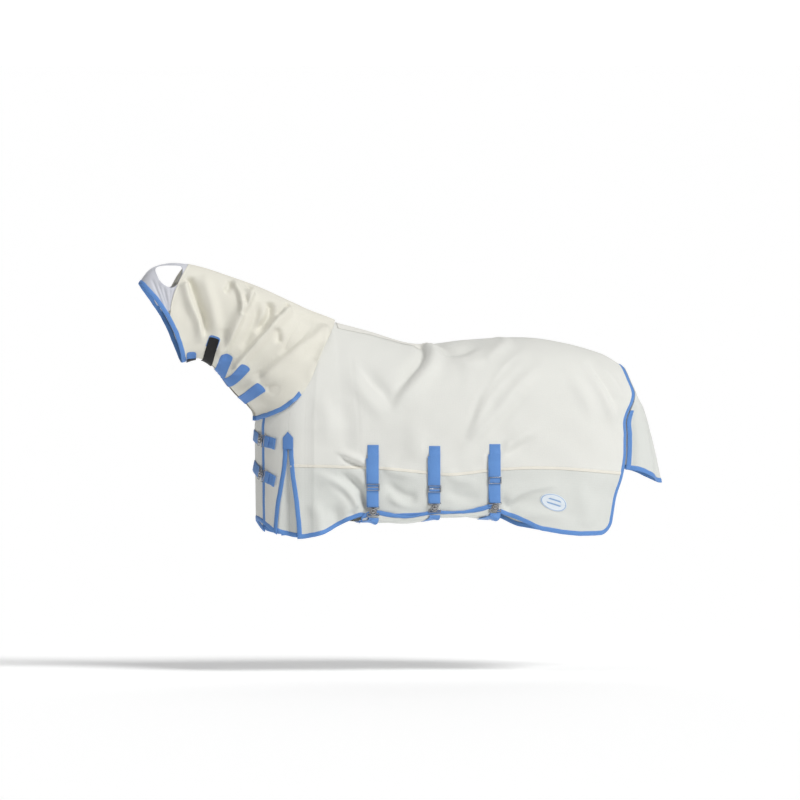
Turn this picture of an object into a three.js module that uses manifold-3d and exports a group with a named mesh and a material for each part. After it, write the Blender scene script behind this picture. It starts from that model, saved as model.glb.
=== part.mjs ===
// A fly sheet with a neck cover, belly wrap and tail flap, as it hangs on a standing horse.
// Millimetres. +X runs from the head to the tail, -Y is the near side (the horse's left), +Z is up.
// The origin is at the withers, where the sheet rests on the horse's back.
import * as THREE from "three";
import { mergeVertices } from "three/addons/utils/BufferGeometryUtils.js";
import Module from "manifold-3d";

const wasm = await Module();
wasm.setup();

// Overall sizes of the body sheet
const backLength = 1345; // withers to the rear edge
const barrelWidth = 610; // widest place, over the ribs
const chestDepth = 222; // shoulder line to the front of the chest
const shoulderX = -120; // where the side starts to turn round to the chest
const chestWidth = 470; // across both shoulders
const widestLevel = -470; // height of the widest line of the body
const sideTaper = 0.975; // how far the sides pull in from there to the hem
const centreSplit = 0.0004; // where each side stops short of the spine and crest
const vWide = 0.5; // share of the way down a panel at which it is widest

// Cloth, tape and webbing
const cloth = 2.5;
const gap = 0.4; // between pieces that touch
const edgeGap = 1.4; // between a panel and the tape that binds it
const bindingWidth = 20;
const bindingThick = 4;
const bindingLift = -0.75; // the folded tape stands a little proud on both faces
const tapeWidth = 20;
const tapeThick = 1;
const webWidth = 50;
const webThick = 2.2;

// Strip over the withers
const witherFront = 18;
const witherRear = 430;

// Belly wrap
const wrapFront = 78;
const wrapRear = 705;
const wrapTop = -832; // near edge, over the hem
const wrapBend = -862; // where it starts to turn under the belly
const wrapBottom = -888;
const wrapLift = 6.5; // clear of the hem that it covers
const wrapRise = 20; // how much higher its rear part hangs
const wrapTuck = 30; // how far its far edge stands up inside the far hem

const sewnLift = 1.9; // a sewn strap end, off the panel

// Surcingle straps: place along the body, height of the sewn end, height of the slider over the
// hook's bar, and how far the wrap's own strap leans towards the head
const firstStrap = wrapFront + 62;
const lastStrap = wrapRear - 22;
const strapPlaces = [
  { x: firstStrap, top: -540, slider: 87, lean: 40 },
  { x: (firstStrap + lastStrap) / 2, top: -545, slider: 63, lean: 22 },
  { x: lastStrap, top: -538, slider: 99, lean: 40 },
];
const barAboveWrap = 18; // hook's bar over the wrap's near edge
const barRadius = 2.2;
const barClear = 0.5; // webbing to bar
const layerBack = 7.4; // outer face of the strap's back layer, off the panel
const layerFront = 10.4; // inner face of its front layer
const returnLength = 215; // back layer, from the bar up
const plateLift = 11; // slot plate's back face, off the panel
const plateThick = 2.5;
const hookWidth = 60;
const hookThick = 2.6;
const hookReach = 34; // bar to the end of the tongue
const tongueWidth = 24;
const pegRadius = 3;
const slotClear = 1.4; // peg to slot
const pegDrop = 27; // bar to peg
const sliderWire = 2.6;

// Chest closures
const closureHeights = [-525, -681];
const closureU = 0.235; // place of the closing edge round the near side of the chest
const nearStrapLength = 72;
const farStrapLength = 95;

// Gusset, as places round the chest
const gussetTop = -552;
const gussetLine = 0.67;
const gussetFront = 0.5;
const gussetRear = 0.79;
const capWidth = 48;
const capHeight = 78;

// Neck cover
const neckHalf = [[0, 84], [0.2, 82], [0.42, 96], [0.62, 118], [0.82, 160], [1, 195]];
const neckLift = 8; // bib's inner face, off the body
const neckSlot = 0.95; // share of the way to the throat at which each panel ends
const seamFrom = 0.6; // share of the way down where the seam ends and the free bib begins
const pollSeam = 0.29; // length of the stretch poll piece along the crest
const pollDown = 0.43;
const pollEnd = 0.045;
const earHalf = [55, 45]; // half its length and half its height
const earPlace = [-747, 206];
const tabWidth = 48;
const tabPlaces = [
  { q: 0.12, tip: 0.92 },
  { q: 0.27, tip: 0.7 },
  { q: 0.41, tip: 0.78 },
  { q: 0.55, tip: 0.75 },
  { q: 0.735, tip: 0.73 },
];

// Tail flap
const flapTop = -204;
const flapInset = 0.03; // share of its breadth left clear at each side
const flapTape = 0.045; // share of its height taken by the binding
const flapSide = -660; // lowest point of its side edges
const flapMiddle = -724; // lowest point behind the tail

// Plain oval label
const labelPlace = [backLength - 383, -800];
const labelSize = [150, 74];
const labelTurn = -0.26;

const colours = {
  cream: 0xdfe0d8,
  neckCream: 0xd9d6c8,
  poll: 0xc8cacf,
  blue: 0x5a93d6,
  tape: 0xd8d4c0,
  black: 0x16161a,
  nickel: 0xb9bcc0,
  label: 0xe6edf2,
};

const lerp = THREE.MathUtils.lerp;
const clamp = THREE.MathUtils.clamp;

function smooth(from, to, x) {
  const t = clamp((x - from) / (to - from), 0, 1);
  return t * t * (3 - 2 * t);
}

// A smooth line through [x, y] points.
function through(points) {
  const last = points.length - 1;
  const slope = (k) => {
    const before = points[Math.max(k - 1, 0)];
    const after = points[Math.min(k + 1, last)];
    return (after[1] - before[1]) / (after[0] - before[0]);
  };
  return (x) => {
    let i = 0;
    while (i < last - 1 && x > points[i + 1][0]) i += 1;
    const span = points[i + 1][0] - points[i][0];
    const t = clamp((x - points[i][0]) / span, 0, 1);
    const rise = points[i + 1][1] - points[i][1];
    const bend = slope(i) * span * t * (1 - t) ** 2 - slope(i + 1) * span * t * t * (1 - t);
    return points[i][1] + rise * t * t * (3 - 2 * t) + bend;
  };
}

// Lines of the body, against the place along it: -1 at the chest, 0 at the withers, 1 at the rear
const along = (x) => (x < 0 ? x / (chestDepth - shoulderX) : x / backLength);
const spine = through([[0, 0], [0.12, -43], [0.28, -101], [0.46, -82], [0.65, -73], [0.8, -101],
  [0.93, -147], [0.98, -183], [1, -200]]);
// The hem against x in mm: it is raised over the belly wrap
const chestX = shoulderX - chestDepth;
const hem = through([[chestX, -879], [0.8 * chestX, -940], [0.56 * chestX, -957],
  [0.23 * chestX, -935], [-3, -895], [wrapFront - 31, -871], [wrapFront + 16, -856],
  [wrapFront + 83, -848], [wrapRear - 207, -836], [wrapRear - 59, -834], [wrapRear + 8, -848],
  [wrapRear + 115, -888], [wrapRear + 196, -924], [(wrapRear + 196 + backLength) / 2, -948],
  [backLength, -948]]);
const breadth = through([[-0.35, chestWidth / 2], [0.07, 0.885 * barrelWidth / 2],
  [0.3, barrelWidth / 2], [0.52, barrelWidth / 2], [0.7, 0.95 * barrelWidth / 2],
  [0.86, 0.84 * barrelWidth / 2], [0.94, 0.7 * barrelWidth / 2], [1, 0.5 * barrelWidth / 2]]);
const backShape = through([[0, 1.6], [0.3, 2.1], [0.6, 2.3], [1, 2.2]]);
const rearShape = through([[-948, -110], [-792, -86], [-658, -48], [-507, -38], [-440, -41],
  [-329, 2], [-263, -15], [-191, -33]]);
const panelSeam = through([[-0.6, -632], [0.1, -641], [0.28, -663], [0.36, -672], [0.5, -654],
  [0.62, -645], [0.75, -650], [1, -680]]);
const neckline = new THREE.Vector3(-338, 0, -395); // its lowest point, at the chest
const necklineHalf = 132;

const uWithers = 1 - shoulderX / 1000;
const uRear = uWithers + backLength / 1000;
const uAt = (x) => 1 + (x - shoulderX) / 1000;

// The sheet's inner face on the near side. u runs round the chest from its middle to the shoulder
// (0 to 1) and on along the side, a metre for each 1. v runs from the spine or neckline to the hem.
function body(u, v) {
  const turn = Math.min(u, 1) * Math.PI / 2;
  const wideX = u < 1 ? shoulderX - chestDepth * Math.cos(turn) : shoulderX + (u - 1) * 1000;
  const wideY = u < 1 ? Math.sin(turn) * chestWidth / 2 : breadth(along(wideX));
  const t = u / uWithers;
  const topX = t < 1 ? lerp(neckline.x, 0, t) : wideX;
  const topY = t < 1 ? necklineHalf * Math.max(Math.sin(Math.PI * t), 0) ** 0.8 : 0;
  const topZ = t < 1 ? lerp(neckline.z, 0, t) : spine(along(wideX));
  const shape = 2 / backShape(Math.max(along(topX), 0));
  const angle = Math.min(v / vWide, 1) * Math.PI / 2;
  const out = Math.sin(angle) ** shape;
  const drop = v < vWide ? 0 : (v - vWide) / (1 - vWide);
  const taper = lerp(1, sideTaper, drop);
  const z = v < vWide
    ? lerp(widestLevel, topZ, Math.cos(angle) ** shape)
    : lerp(widestLevel, hem(wideX), drop);
  const rear = smooth(0.66, 1, along(wideX)) * rearShape(z);
  const x = lerp(topX, shoulderX + (wideX - shoulderX) * (u < 1 ? taper : 1), out) + rear;
  return new THREE.Vector3(x, -lerp(topY, wideY * taper, out), z);
}

// v of the point at height z below the widest line
const vAt = (u, z) => {
  const wideX = u < 1 ? shoulderX - chestDepth * Math.cos(u * Math.PI / 2) : shoulderX + (u - 1) * 1000;
  return lerp(vWide, 1, (z - widestLevel) / (hem(wideX) - widestLevel));
};

// Steps in u or v for a distance in mm along the sheet
const uFor = (u, v, mm) => mm * 0.002 / body(u + 0.001, v).distanceTo(body(u - 0.001, v));
const vFor = (u, v, mm) => mm * 0.002 / body(u, v + 0.001).distanceTo(body(u, v - 0.001));

// The y of the body's inner face at a place in side view, found by stepping u and v towards it
function bodyY(x, z) {
  let u = clamp(uAt(x), 0.05, uRear);
  let v = 0.4;
  for (let step = 0; step < 40; step += 1) {
    const here = body(u, v);
    const alongU = body(u + 0.002, v).sub(here).multiplyScalar(500);
    const alongV = body(u, v + 0.002).sub(here).multiplyScalar(500);
    const det = alongU.x * alongV.z - alongV.x * alongU.z;
    const dx = x - here.x;
    const dz = z - here.z;
    u = clamp(u + clamp((dx * alongV.z - dz * alongV.x) / det, -0.1, 0.1), 0.02, uRear);
    v = clamp(v + clamp((dz * alongU.x - dx * alongU.z) / det, -0.1, 0.1), 0.02, 0.98);
  }
  return { y: body(u, v).y, side: Math.abs(inwardAt(u, v).y) };
}

// Crest and throat of the neck cover, head end first
const spot = ([x, z]) => new THREE.Vector3(x, 0, z);
const crest = new THREE.CatmullRomCurve3([[-868, 173], [-815, 238], [-742, 262], [-673, 262],
  [-580, 243], [-488, 213], [-370, 172], [-298, 143], [-162, 78], [-12, 4]].map(spot));
const throat = new THREE.CatmullRomCurve3([[-676, -178], [-602, -160], [-538, -194], [-441, -312],
  [-386, -364], [-358, -405], [-356, -440]].map(spot));
const neckWidth = through(neckHalf);

function plainNeck(q, v) {
  const top = crest.getPointAt(q);
  const low = throat.getPointAt(q);
  const side = Math.abs(v);
  const angle = Math.PI * side;
  const s = ((1 - Math.cos(angle)) / 2) ** 1.08;
  const bow = lerp(26, 74, q * q) * Math.sin(Math.PI * s ** lerp(1, 1.35, q));
  const chord = low.clone().sub(top).normalize();
  const point = top.lerp(low, s);
  point.x += -chord.z * bow;
  point.z += chord.x * bow;
  point.y = Math.sign(v) * neckWidth(q) * Math.sin(angle) ** 0.85;
  return point;
}

// How far the rear edge must move sideways to lie on the body, in steps of v
const edgeSteps = 24;
const edgeShift = [[0, 0]];
for (let i = 1; i < edgeSteps; i += 1) {
  const plain = plainNeck(1, i / edgeSteps);
  const under = bodyY(plain.x, plain.z);
  const shift = -under.y + neckLift / Math.max(under.side, 0.3) - plain.y;
  edgeShift.push([i / edgeSteps, shift]);
}
edgeShift.push([1, 0]);
const rearShift = through(edgeShift);

// The neck cover's inner face. q runs from the face opening to the rear edge, v from the crest (0)
// to the throat (1 on the near side, -1 on the far side).
function neck(q, v) {
  const point = plainNeck(q, v);
  point.y += Math.sign(v) * smooth(0.66, 1, q) * rearShift(Math.abs(v));
  point.y = -point.y;
  point.z += lerp(0, neckLift, smooth(0.7, 1, q)) * (1 - Math.abs(v));
  return point;
}
const qFor = (q, v, mm) => mm * 0.004 / neck(Math.min(q + 0.002, 1), v).distanceTo(neck(q - 0.002, v));

// A closed sheet: at(a, b), for a and b from 0 to 1, is its base face, lift and thick are outwards.
function sheet(at, steps, rows, lift, thick) {
  const base = [];
  for (let i = 0; i <= steps; i += 1) {
    base.push([]);
    for (let j = 0; j <= rows; j += 1) base[i].push(at(i / steps, j / rows));
  }
  const positions = [];
  const normal = (i, j) => {
    const alongA = base[Math.min(i + 1, steps)][j].clone().sub(base[Math.max(i - 1, 0)][j]);
    const alongB = base[i][Math.min(j + 1, rows)].clone().sub(base[i][Math.max(j - 1, 0)]);
    return alongB.cross(alongA).normalize();
  };
  for (const height of [lift + thick, lift]) {
    for (let i = 0; i <= steps; i += 1)
      for (let j = 0; j <= rows; j += 1)
        positions.push(...base[i][j].clone().addScaledVector(normal(i, j), height).toArray());
  }
  const outer = (i, j) => i * (rows + 1) + j;
  const inner = (i, j) => outer(i, j) + (steps + 1) * (rows + 1);
  const index = [];
  const quad = (a, b, c, d) => index.push(a, b, c, a, c, d);
  for (let i = 0; i < steps; i += 1) {
    for (let j = 0; j < rows; j += 1) {
      quad(outer(i, j), outer(i, j + 1), outer(i + 1, j + 1), outer(i + 1, j));
      quad(inner(i, j), inner(i + 1, j), inner(i + 1, j + 1), inner(i, j + 1));
    }
    quad(outer(i, 0), outer(i + 1, 0), inner(i + 1, 0), inner(i, 0));
    quad(outer(i, rows), inner(i, rows), inner(i + 1, rows), outer(i + 1, rows));
  }
  for (let j = 0; j < rows; j += 1) {
    quad(outer(0, j), inner(0, j), inner(0, j + 1), outer(0, j + 1));
    quad(outer(steps, j), outer(steps, j + 1), inner(steps, j + 1), inner(steps, j));
  }
  const geometry = new THREE.BufferGeometry();
  geometry.setAttribute("position", new THREE.Float32BufferAttribute(positions, 3));
  geometry.setIndex(index);
  return geometry;
}

// The same piece on the far side
function mirrored(geometry) {
  const copy = geometry.clone();
  copy.applyMatrix4(new THREE.Matrix4().makeScale(1, -1, 1));
  const index = copy.index.array;
  for (let i = 0; i < index.length; i += 3) [index[i + 1], index[i + 2]] = [index[i + 2], index[i + 1]];
  return copy;
}

// Booleans by manifold-3d
function toSolid(geometry) {
  const bare = geometry.clone();
  bare.deleteAttribute("normal");
  bare.deleteAttribute("uv");
  const merged = mergeVertices(bare, 1e-4);
  return new wasm.Manifold(new wasm.Mesh({
    numProp: 3,
    vertProperties: new Float32Array(merged.attributes.position.array),
    triVerts: new Uint32Array(merged.index.array),
  }));
}

function toGeometry(solid) {
  const mesh = solid.getMesh();
  const geometry = new THREE.BufferGeometry();
  geometry.setAttribute("position", new THREE.BufferAttribute(mesh.vertProperties, 3));
  geometry.setIndex(new THREE.BufferAttribute(mesh.triVerts, 1));
  return geometry;
}

const joined = (pieces) => toGeometry(pieces.map(toSolid).reduce((a, b) => a.add(b)));

const block = (width, depth, height, x, y, z) =>
  new THREE.BoxGeometry(width, depth, height).translate(x, y, z);

const sheetGroup = new THREE.Group();

function add(name, geometry, colour, parent = sheetGroup, metal = false) {
  geometry.computeVertexNormals();
  const material = new THREE.MeshStandardMaterial({
    color: colours[colour],
    roughness: metal ? 0.3 : 0.85,
    metalness: metal ? 1 : 0,
  });
  const mesh = new THREE.Mesh(geometry, material);
  mesh.name = name;
  parent.add(mesh);
  return mesh;
}

function addPair(name, geometry, colour) {
  add(name + "_near", geometry, colour);
  add(name + "_far", mirrored(geometry), colour);
}

// Places of the panel edges
const vGusset = vAt(gussetLine, gussetTop);
const vSeam = (u) => vAt(u, panelSeam(along(body(Math.max(u, 0.3), 0.6).x)));
const gussetHalf = (edge, v) => edge * smooth(vGusset, 1, v);
const chestEdge = (v) => gussetLine - 0.012 - gussetHalf(gussetLine - gussetFront - 0.012, v);
const sideEdge = (v) => gussetLine + 0.012 + gussetHalf(gussetRear - gussetLine - 0.012, v);
const vTape = (u) => vFor(u, 0.9, bindingWidth);
const uTape = (u) => uFor(u, 0.7, bindingWidth);
const uPanelEnd = uRear - uTape(uRear - 0.01);
const cornerRadius = 62;

// Height lost at the rounded rear corner of the hem, as a step in v
function cornerCut(u) {
  const past = (u - uRear) * 1000 + cornerRadius;
  if (past <= 0) return 0;
  const rise = cornerRadius - Math.sqrt(Math.max(cornerRadius ** 2 - past ** 2, 0));
  return vFor(u, 0.9, rise);
}
// More steps towards the rounded corner
const easeOut = (a) => 1 - (1 - a) ** 1.6;

// Chest panels: the near one stops at the closing edge, the far one runs past the middle to meet it
const chestRows = 9;
const aroundChest = (u, v) => (u < 0 ? body(-u, v).multiply(new THREE.Vector3(1, -1, 1)) : body(u, v));
const gapU = uFor(0.3, 0.7, edgeGap);
const chestLow = (u) => 1 - vTape(Math.abs(u)) - vFor(Math.abs(u), 0.9, edgeGap);
const chestAt = (from, to) => (a, b) => {
  const v = lerp(centreSplit, chestLow(0.3), b);
  const u = lerp(from(v), to(v), a);
  return aroundChest(u, lerp(centreSplit, chestLow(u), b));
};
const nearFrom = () => closureU + uTape(closureU) + gapU;
const nearTo = (v) => chestEdge(v) - (v > vAt(gussetLine, gussetTop) ? uTape(0.5) : 0) - gapU;
add("chest_panel_near", sheet(chestAt(nearFrom, nearTo), 5, 2 * chestRows, 0, cloth), "cream");
add("chest_panel_far", sheet(chestAt((v) => -nearTo(v), () => closureU - gapU), 12, 2 * chestRows, 0, cloth),
  "cream");

// Upper body panels and lower skirts
const sideSteps = 22;
const panelFrom = (v) => sideEdge(v) + (v > vGusset ? uTape(0.8) : 0) + gapU;
const panelEnd = uPanelEnd - gapU;
const seamStart = vSeam(panelFrom(0.72));
const sideU = (a, start) => lerp(start, panelEnd, easeOut(a));
const panelAt = (a, b) => {
  const low = vSeam(sideU(a, panelFrom(seamStart)));
  const v = lerp(centreSplit, low - vFor(sideU(a, 1), 0.7, gap), b);
  return body(sideU(a, panelFrom(lerp(0, seamStart, b))), v);
};
addPair("body_panel", sheet(panelAt, sideSteps, 9, 0, cloth), "cream");
const skirtLow = (u) => 1 - vTape(u) - vFor(u, 0.9, edgeGap) - cornerCut(u);
const skirtAt = (a, b) => {
  const start = panelFrom(lerp(seamStart, 1, b));
  const u = sideU(a, start);
  return body(u, lerp(vSeam(u), skirtLow(u), b));
};
addPair("skirt_panel", sheet(skirtAt, sideSteps, 3, 0, cloth), "cream");

// Bound edges
const strip = (at, steps) => sheet(at, steps, 1, bindingLift, bindingThick);
const chestHem = (from, to) => strip((a, b) => {
  const u = lerp(from, to, a);
  return aroundChest(u, lerp(1 - vTape(Math.abs(u)), 1, b));
}, 6);
const gussetV = (b) => lerp(vGusset + 0.03, 1, b);
const chestSlit = sheet((a, b) => {
  const v = gussetV(b);
  return body(lerp(chestEdge(v) - uTape(0.5), chestEdge(v), a), v);
}, 1, 6, bindingLift, bindingThick);
const closureStrip = sheet((a, b) => body(closureU + a * uTape(closureU), lerp(0.004, 1, b)),
  1, 12, bindingLift, bindingThick);
const nearHem = chestHem(closureU + uTape(closureU) / 2, gussetFront - uTape(0.5) / 2);
add("chest_binding_near", joined([closureStrip, nearHem, chestSlit]), "blue");
const farHem = chestHem(-gussetFront + uTape(0.5) / 2, closureU - gapU);
add("chest_binding_far", joined([farHem, mirrored(chestSlit)]), "blue");

const sideSlit = sheet((a, b) => {
  const v = gussetV(b);
  return body(lerp(sideEdge(v), sideEdge(v) + uTape(0.8), a), v);
}, 1, 6, bindingLift, bindingThick);
const hemStrip = sheet((a, b) => {
  const i = Math.round(a * (sideSteps + 2)) - 1;
  const start = panelFrom(1);
  let u = sideU(clamp(i / sideSteps, 0, 1), start);
  if (i < 0) u = start - uTape(0.8) / 2;
  if (i > sideSteps) u = panelEnd + uTape(uRear - 0.01) / 2;
  const low = 1 - cornerCut(u);
  return body(u, lerp(low - vTape(u), low, b));
}, sideSteps + 2, 1, bindingLift, bindingThick);
const rearStrip = sheet((a, b) => {
  const low = 1 - cornerCut(panelEnd + uTape(uRear - 0.01) / 2);
  return body(lerp(uPanelEnd, uRear, a), lerp(0.03, low - 0.01, b));
}, 1, 12, bindingLift, bindingThick);
addPair("edge_binding", joined([sideSlit, hemStrip, rearStrip]), "blue");

// Folded gussets, set back behind their slits, and the caps over their tops
const gussetAt = (a, b) => {
  const v = lerp(vGusset + 0.01, 0.985, b);
  return body(lerp(chestEdge(v) - 0.03, sideEdge(v) + 0.03, a), v);
};
addPair("gusset", sheet(gussetAt, 5, 6, -8, cloth), "cream");
const capAt = (a, b) => {
  const top = gussetTop + capHeight - 8;
  const v = vAt(gussetLine, lerp(top, top - capHeight, b));
  const half = (b < 0.35 ? lerp(0.12, 1, b / 0.35) : 1) * uFor(gussetLine, 0.6, capWidth / 2);
  return body(gussetLine + (a - 0.5) * 2 * half, v);
};
addPair("gusset_cap", sheet(capAt, 2, 6, bindingThick + bindingLift + gap, 2), "blue");

// Seam tape between panel and skirt, and the strip over the withers
const seamAt = (a, b) => {
  const u = sideU(a * 0.998 + 0.001, panelFrom(seamStart));
  return body(u, vSeam(u) + (b - 0.5) * vFor(u, 0.7, tapeWidth));
};
addPair("seam_tape", sheet(seamAt, sideSteps, 1, cloth + 1.5 * gap, tapeThick), "tape");
// A place on the flat faces between the side panels' own cross lines, so that a piece lies on them
function onPanel(u, v) {
  let i = 0;
  const lineU = (k) => sideU(k / sideSteps, panelFrom(v));
  while (i < sideSteps - 1 && lineU(i + 1) < u) i += 1;
  return body(lineU(i), v).lerp(body(lineU(i + 1), v), (u - lineU(i)) / (lineU(i + 1) - lineU(i)));
}
const witherEnds = [uAt(witherFront), uAt(witherRear)];
const panelLines = Array.from({ length: sideSteps }, (_, i) => sideU(i / sideSteps, panelFrom(0)));
const witherLines = [...witherEnds, ...panelLines]
  .filter((u) => witherEnds.includes(u) || (u > witherEnds[0] + 0.01 && u < witherEnds[1] - 0.01))
  .sort((a, b) => a - b);
const witherSteps = witherLines.length - 1;
const witherAt = (a, b) => {
  const u = witherLines[Math.round(a * witherSteps)];
  const share = (u - witherEnds[0]) / (witherEnds[1] - witherEnds[0]);
  const reach = lerp(92, 60, share) * (share > 0.8 ? lerp(1, 0.45, (share - 0.8) / 0.2) : 1);
  const v = (b - 0.5) * 2 * vFor(u, 0.12, reach);
  return v < 0 ? onPanel(u, -v).multiply(new THREE.Vector3(1, -1, 1)) : onPanel(u, v);
};
add("wither_strip", sheet(witherAt, witherSteps, 8, cloth + 3, 2), "cream");

// Belly wrap: down the near side over the hem, under the belly, up inside the far hem
const wrapBreadth = (x) => -body(uAt(x), vAt(uAt(x), hem(x) + 8)).y;
const wrapRiseAt = (x) => {
  const share = (x - wrapFront) / (wrapRear - wrapFront);
  return wrapRise * (smooth(0.25, 0.65, share) - 0.3 * smooth(0.92, 1, share));
};
const turnShare = 0.06; // share of the wrap's breadth that stands up at each edge
function wrap(x, b) {
  const rise = wrapRiseAt(x);
  const near = wrapBreadth(x) + wrapLift;
  const far = wrapBreadth(x) - wrapLift - cloth;
  if (b < turnShare) return new THREE.Vector3(x, -near, lerp(wrapTop, wrapBend, b / turnShare) + rise);
  if (b > 1 - turnShare) {
    const up = (b - 1 + turnShare) / turnShare;
    return new THREE.Vector3(x, far, lerp(wrapBend, wrapBend + wrapTuck, up) + rise);
  }
  const angle = (b - turnShare) / (1 - 2 * turnShare) * Math.PI;
  const across = Math.cos(angle);
  const y = -Math.sign(across) * Math.abs(across) ** 0.8 * (across > 0 ? near : far);
  return new THREE.Vector3(x, y, lerp(wrapBend, wrapBottom, Math.sin(angle) ** 0.8) + rise);
}
const wrapX = (a) => lerp(wrapFront, wrapRear, a);
const wrapTape = turnShare * bindingWidth / (wrapTop - wrapBend);
add("belly_wrap", sheet((a, b) => wrap(wrapX(a), lerp(wrapTape + 0.001, 1, b)), 10, 18, 0, cloth), "cream");
add("wrap_binding", sheet((a, b) => wrap(wrapX(a), b * wrapTape), 10, 1, bindingLift, bindingThick), "blue");

// A frame on the near side: local z points along a strap away from its hook, -y outwards
function frameOn(point, up, inward) {
  const z = up.clone().normalize();
  const y = inward.clone().addScaledVector(z, -inward.dot(z)).normalize();
  const x = y.clone().cross(z);
  const group = new THREE.Group();
  group.matrixAutoUpdate = false;
  group.matrix.makeBasis(x, y, z).setPosition(point);
  sheetGroup.add(group);
  return group;
}

function inwardAt(u, v) {
  const alongU = body(u + 0.002, v).sub(body(u - 0.002, v));
  const alongV = body(u, v + 0.002).sub(body(u, v - 0.002));
  return alongU.cross(alongV).normalize();
}

// Webbing of full width that follows [y, z] points
function webbing(points, width = webWidth) {
  const steps = points.length - 1;
  const at = (a, b) => {
    const [y, z] = points[Math.round(a * steps)];
    return new THREE.Vector3((0.5 - b) * width, y, z);
  };
  return sheet(at, steps, 1, 0, webThick);
}

// How deep the face under a strap lies from its frame's plane at a height there, least over its width
function dipUnder(group, placeAt) {
  const inverse = group.matrix.clone().invert();
  return (height) => Math.min(...[-0.5, 0, 0.5].map((side) => {
    const target = new THREE.Vector3(side * webWidth, 0, height);
    const guess = target.clone();
    let here = guess;
    for (let step = 0; step < 8; step += 1) {
      here = placeAt(guess.x, guess.z).applyMatrix4(inverse);
      guess.add(target).sub(here);
    }
    return here.y;
  }));
}

// A strap that comes down from its sewn end, turns round the hook's bar (at z = 0) and goes back up.
// dip(z) is how deep the face lies that it follows.
function loopedStrap(length, back, dip) {
  const loop = barRadius + barClear;
  const middle = layerBack + loop;
  const front = (z) => -lerp(middle + loop, layerFront, smooth(8, 34, z)) + dip(z);
  const points = [];
  const sewn = cloth + sewnLift;
  points.push([-sewn + dip(length), length]);
  points.push([-sewn + dip(length - 18), length - 18]);
  for (const share of [0.86, 0.62, 0.4, 0.22, 0.1]) {
    const z = Math.min(length * share, length - 30);
    if (z < points[points.length - 1][1] - 6 && z > 9) points.push([front(z), z]);
  }
  for (let i = 0; i <= 8; i += 1) {
    const angle = i / 8 * Math.PI;
    points.push([-middle - loop * Math.cos(angle), -loop * Math.sin(angle)]);
  }
  for (const share of [0.5, 1]) points.push([-layerBack + dip(back * share), back * share]);
  return webbing(points);
}

// The hook: a bar through the strap's loop, two arms, a crosspiece and a tongue with an inward peg
const tongueLift = plateLift + plateThick + 0.6;
function hookShape() {
  const barY = -(layerBack + barRadius + barClear);
  const bar = new THREE.CylinderGeometry(barRadius, barRadius, hookWidth - 4, 10).rotateZ(Math.PI / 2)
    .translate(0, barY, 0);
  const front = tongueLift + hookThick;
  const armDepth = front - (layerBack + 1);
  const armX = hookWidth / 2 - 2;
  const arms = [-armX, armX].map((x) => block(4, armDepth, 17, x, -front + armDepth / 2, -5.5));
  const cross = block(hookWidth - 4, hookThick, 5, 0, -front + hookThick / 2, -11.5);
  const tongueLength = hookReach - 10;
  const tongue = block(tongueWidth, hookThick, tongueLength, 0, -front + hookThick / 2,
    -10 - tongueLength / 2);
  const pegLength = plateThick + 1.2;
  const peg = new THREE.CylinderGeometry(pegRadius, pegRadius, pegLength, 12)
    .translate(0, -tongueLift + pegLength / 2 - 0.6, -pegDrop);
  return joined([bar, ...arms, cross, tongue, peg]);
}

// The slot plate that the peg drops into, with a lower window for its own strap
function plateShape() {
  const plate = block(hookWidth, plateThick, 26, 0, -plateLift - plateThick / 2, -pegDrop - 4);
  const hole = (width, height, z) => block(width, 4 * plateThick, height, 0, -plateLift, z);
  const slotHeight = 2 * (pegRadius + slotClear);
  const slot = hole(slotHeight + 12, slotHeight, -pegDrop);
  const window = hole(webWidth + 1, 3.4, -pegDrop - 12);
  return toGeometry(toSolid(plate).subtract(toSolid(slot)).subtract(toSolid(window)));
}

// The three-bar slider: its middle bar lies between the strap's two layers
function sliderShape() {
  const outer = layerFront + webThick + gap;
  const inner = layerBack + gap;
  const depth = outer + sliderWire - inner;
  const sideX = webWidth / 2 + 0.7 + sliderWire / 2;
  const pieces = [-sideX, sideX].map((x) => block(sliderWire, depth, 30, x, -inner - depth / 2, 0));
  for (const z of [-13.5, 13.5])
    pieces.push(block(2 * sideX, sliderWire, 3, 0, -outer - sliderWire / 2, z));
  const barDepth = layerFront - layerBack - 2 * gap;
  pieces.push(block(2 * sideX, barDepth, 5, 0, -(layerFront + layerBack) / 2, 0));
  return joined(pieces);
}

// Near side straps with their sliders and hooks, and the straps of the belly wrap with their plates
strapPlaces.forEach(({ x, top, slider, lean }, i) => {
  const number = i + 1;
  const bar = wrapTop + wrapRiseAt(x) + barAboveWrap;
  const u = uAt(x);
  const v = vAt(u, bar);
  const up = body(u, v - 0.1).sub(body(u, v));
  const group = frameOn(body(u, v), up, inwardAt(u, v));
  const length = (top - bar) / up.normalize().z;
  const dip = dipUnder(group, (dx, z) => onPanel(u + uFor(u, v, dx), vAt(u, bar + up.z * z)));
  const stand = Math.max(...[0, 0.25, 0.5, 0.75, 1].map((share) => -dip(share * length)));
  group.matrix.multiply(new THREE.Matrix4().makeTranslation(0, -stand, 0));
  const back = Math.min(returnLength, length - 45);
  add("surcingle_strap_" + number, loopedStrap(length, back, () => 0), "blue", group);
  add("strap_slider_" + number, sliderShape().translate(0, 0, slider), "nickel", group, true);
  add("strap_hook_" + number, hookShape(), "nickel", group, true);
  add("slot_plate_" + number, plateShape(), "nickel", group, true);
  const wrapStrapAt = (a, b) => {
    const shift = lean * smooth(0, 0.6, a);
    return wrap(x + (0.5 - b) * webWidth - shift, lerp(turnShare, 0.3, a));
  };
  const lift = bindingThick + gap;
  add("wrap_strap_" + number, sheet(wrapStrapAt, 9, 1, lift, webThick), "blue");
});

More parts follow.
